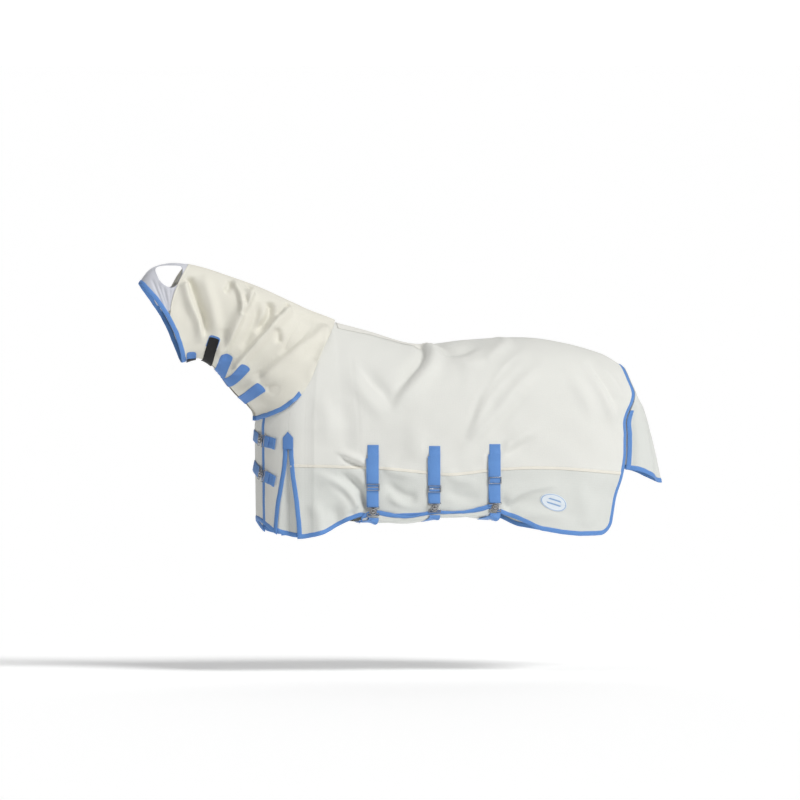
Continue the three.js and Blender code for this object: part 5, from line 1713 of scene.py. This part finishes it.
# Throat tabs: middle line in side view from the throat up, half width, and how square the end is
throatTabs = [
    {"line": [(-0.630, -0.185), (-0.637, -0.160), (-0.640, -0.128)], "half": 0.022, "square": 0.5,
     "place": (0.12, 0.93)},
    {"line": [(-0.565, -0.190), (-0.556, -0.130), (-0.540, -0.066)], "half": 0.023, "square": 0.9,
     "place": (0.27, 0.85)},
    {"line": [(-0.512, -0.250), (-0.498, -0.195), (-0.478, -0.140)], "half": 0.025, "square": 0.3,
     "place": (0.41, 0.88)},
    {"line": [(-0.492, -0.270), (-0.455, -0.255), (-0.396, -0.190)], "half": 0.022, "square": 0.6,
     "place": (0.50, 0.90)},
    {"line": [(-0.425, -0.362), (-0.385, -0.325), (-0.330, -0.282)], "half": 0.024, "square": 0.7,
     "place": (0.73, 0.88)},
]


def tabSkin(tab, a, b, lift):
    line = foldLine(tab["line"], 40)
    share = np.linspace(0, 1, len(line))
    middle = np.stack([np.interp(a, share, line[:, 0]), np.interp(a, share, line[:, 1])], -1)
    ahead = np.stack([np.interp(np.minimum(a + 0.04, 1), share,
                                line[:, 0]) - np.interp(np.maximum(a - 0.04, 0), share, line[:, 0]),
                      np.interp(np.minimum(a + 0.04, 1), share,
                                line[:, 1]) - np.interp(np.maximum(a - 0.04, 0), share, line[:, 1])], -1)
    ahead = unit(ahead)
    long = np.linalg.norm(np.diff(line, axis=0), axis=-1).sum()
    end = 1 - tab["half"] * (1 - 0.6 * tab["square"]) / long
    past = np.clip((a - end) / (1 - end), 0, 1)
    wide = np.sqrt(np.maximum(1 - (0.97 * past) ** (2 + 2 * tab["square"]), 0))
    across = np.stack([ahead[..., 1], -ahead[..., 0]], -1) * (tab["half"] * wide * (b - 0.5) * 2)[..., None]
    spot = middle + across
    q, v = neckPlace(spot[..., 0], spot[..., 1], *tab["place"])
    points, normal = neckSkin(q, np.minimum(v, 0.985), lift)
    return points, normal


def tabPiece(tab, start, stop, lift, finish, thickness, name):
    a, b = gridOf(40, 20)
    points, _ = tabSkin(tab, lerp(start, stop, a), b, lift)
    cloth = clothPanel(name, points[:, ::-1], finish, thickness=thickness)
    return cloth


def addTab(k):
    tab = throatTabs[k]
    finish = blueTab if k != 1 else hookTape
    pieces = [tabPiece(tab, 0, 1, 0.0046, finish, 0.0016, "tabCloth")]
    if k == 0:
        pieces.append(tabPiece(tab, 0, 0.55, 0.0064, hookTape, 0.0008, "tabHook"))
    if k == 1:
        cap = dict(tab, line=[(-0.553, -0.110), (-0.545, -0.085), (-0.536, -0.058)], half=0.0255, square=0.5)
        pieces.append(tabPiece(cap, 0, 1, 0.0030, blueTab, 0.0012, "tabCap"))
    a = np.linspace(0.04, 0.94, 34)
    for side in (0.08, 0.92):
        line, normal = tabSkin(tab, a, np.full(34, side), 0.0064)
        pieces.append(stitchRun("tabStitch", line[0:-1:2], line[1::2], normal[0::2],
                                blueThread if k != 1 else hookTape))
    piece = joinPieces("throat_tape_" + str(k + 1), pieces)
    rideSheet(piece, "tab_" + str(k + 1), "hook_tape" if k == 1 else "binding", "throat_tab_" + str(k + 1))


for tabIndex in range(5):
    addTab(tabIndex)
print("neck cover made")

# Tail flap, hung round behind the tail
tail = {"top": -0.204, "side": -0.660, "middle": -0.724, "inset": 0.006, "tape": 0.045, "clear": 0.005,
        "wide": 0.007}
flapReach = through([(-0.724, 0.145), (-0.507, 0.100), (-0.387, 0.067), (-0.329, 0.029), (-0.262, -0.001),
                     (-0.204, -0.022)])
rearV = np.linspace(0.03, 1, 600)
rearPoints = bodyPoint(np.full(rearV.shape, uRear), rearV)


def flapPoint(a, b):
    a, b = np.broadcast_arrays(np.asarray(a, float), np.asarray(b, float))
    angle = (a - 0.5) * math.pi
    low = lerp(tail["middle"], tail["side"], np.sin(angle) ** 2)
    z = lerp(tail["top"], low, b)
    edgeX = np.interp(-z, -rearPoints[:, 2], rearPoints[:, 0])
    edgeY = np.interp(-z, -rearPoints[:, 2], rearPoints[:, 1])
    x = lerp(edgeX + tail["clear"], backLength + flapReach(z), np.maximum(np.cos(angle), 0) ** 0.9)
    return np.stack([x, -(edgeY + tail["wide"]) * np.sin(angle), z], -1)


def flapSkin(a, b, lift=0.0):
    a, b = np.broadcast_arrays(np.asarray(a, float), np.asarray(b, float))
    e = 0.004
    inA, inB = np.clip(a, 0.02, 0.98), np.clip(b, 0.01, 0.99)
    normal = crossed(flapPoint(inA + e, inB) - flapPoint(inA - e, inB),
                     flapPoint(inA, inB + e) - flapPoint(inA, inB - e))
    normal = -normal
    wave = 0.006 * np.sin(a * 17 + 1.2 + 0.8 * b) + 0.003 * np.sin(a * 31 + 2 * b + 0.4)
    wave = wave * smooth(0.05, 0.9, b) * smooth(0, 0.08, a) * smooth(0, 0.08, 1 - a)
    return flapPoint(a, b) + normal * (wave + lift)[..., None], normal


def addTail():
    a, b = gridOf(120, 90)
    a = lerp(tail["inset"], 1 - tail["inset"], a)
    points, _ = flapSkin(a, b * 0.995, 0.0006)
    piece = clothPanel("tail_cloth", points[:, ::-1], meshPaintedShade)
    rideSheet(piece, "tail_flap_body", "mesh_cloth", "tail_flap")
    a = np.linspace(tail["inset"], 1 - tail["inset"], 110)
    ones = np.ones(a.shape)
    pieces = [bindEdge("flapHem", flapSkin, (a, ones), (a, 1 - tail["tape"] * ones), blueBinding,
                       pucker=0.0009)]
    b = np.linspace(0.42, 0.998, 60)
    for edge, inner in ((tail["inset"], 0.055), (1 - tail["inset"], 0.945)):
        pieces.append(bindEdge("flapSide", flapSkin, (np.full(b.shape, edge), b),
                               (np.full(b.shape, inner), b), blueBinding))
    piece = joinPieces("tail_tape", pieces)
    rideSheet(piece, "tail_flap_body", "binding", "tail_binding")


addTail()


# Oval badge on the rear of the near skirt, with a plain pattern
def addBadge():
    r, t = gridOf(16, 72)
    t = t * 2 * math.pi * (1 - 1 / 72) * 72 / 71
    along_, up = r * np.cos(t), r * np.sin(t)
    c, s = math.cos(badge["turn"]), math.sin(badge["turn"])
    dx, dz = badge["halfLong"] * along_, badge["halfHigh"] * up
    x = badge["x"] + c * dx - s * dz
    z = badge["z"] + s * dx + c * dz
    u = uAt(x)
    dome = 0.0030 + 0.0012 * np.sqrt(np.maximum(1 - r ** 6, 0))
    points, _ = bodySkin(u, vAt(u, z), dome)
    uv = np.stack([along_, up], -1)
    piece = clothPanel("badge_patch", points, badgeWeave, thickness=0.0010, uv=uv)
    rideSheet(piece, "sheet", "label", "label")


badge["x"], badge["z"] = backLength - 0.383, -0.800
addBadge()
print("tail flap and badge made")
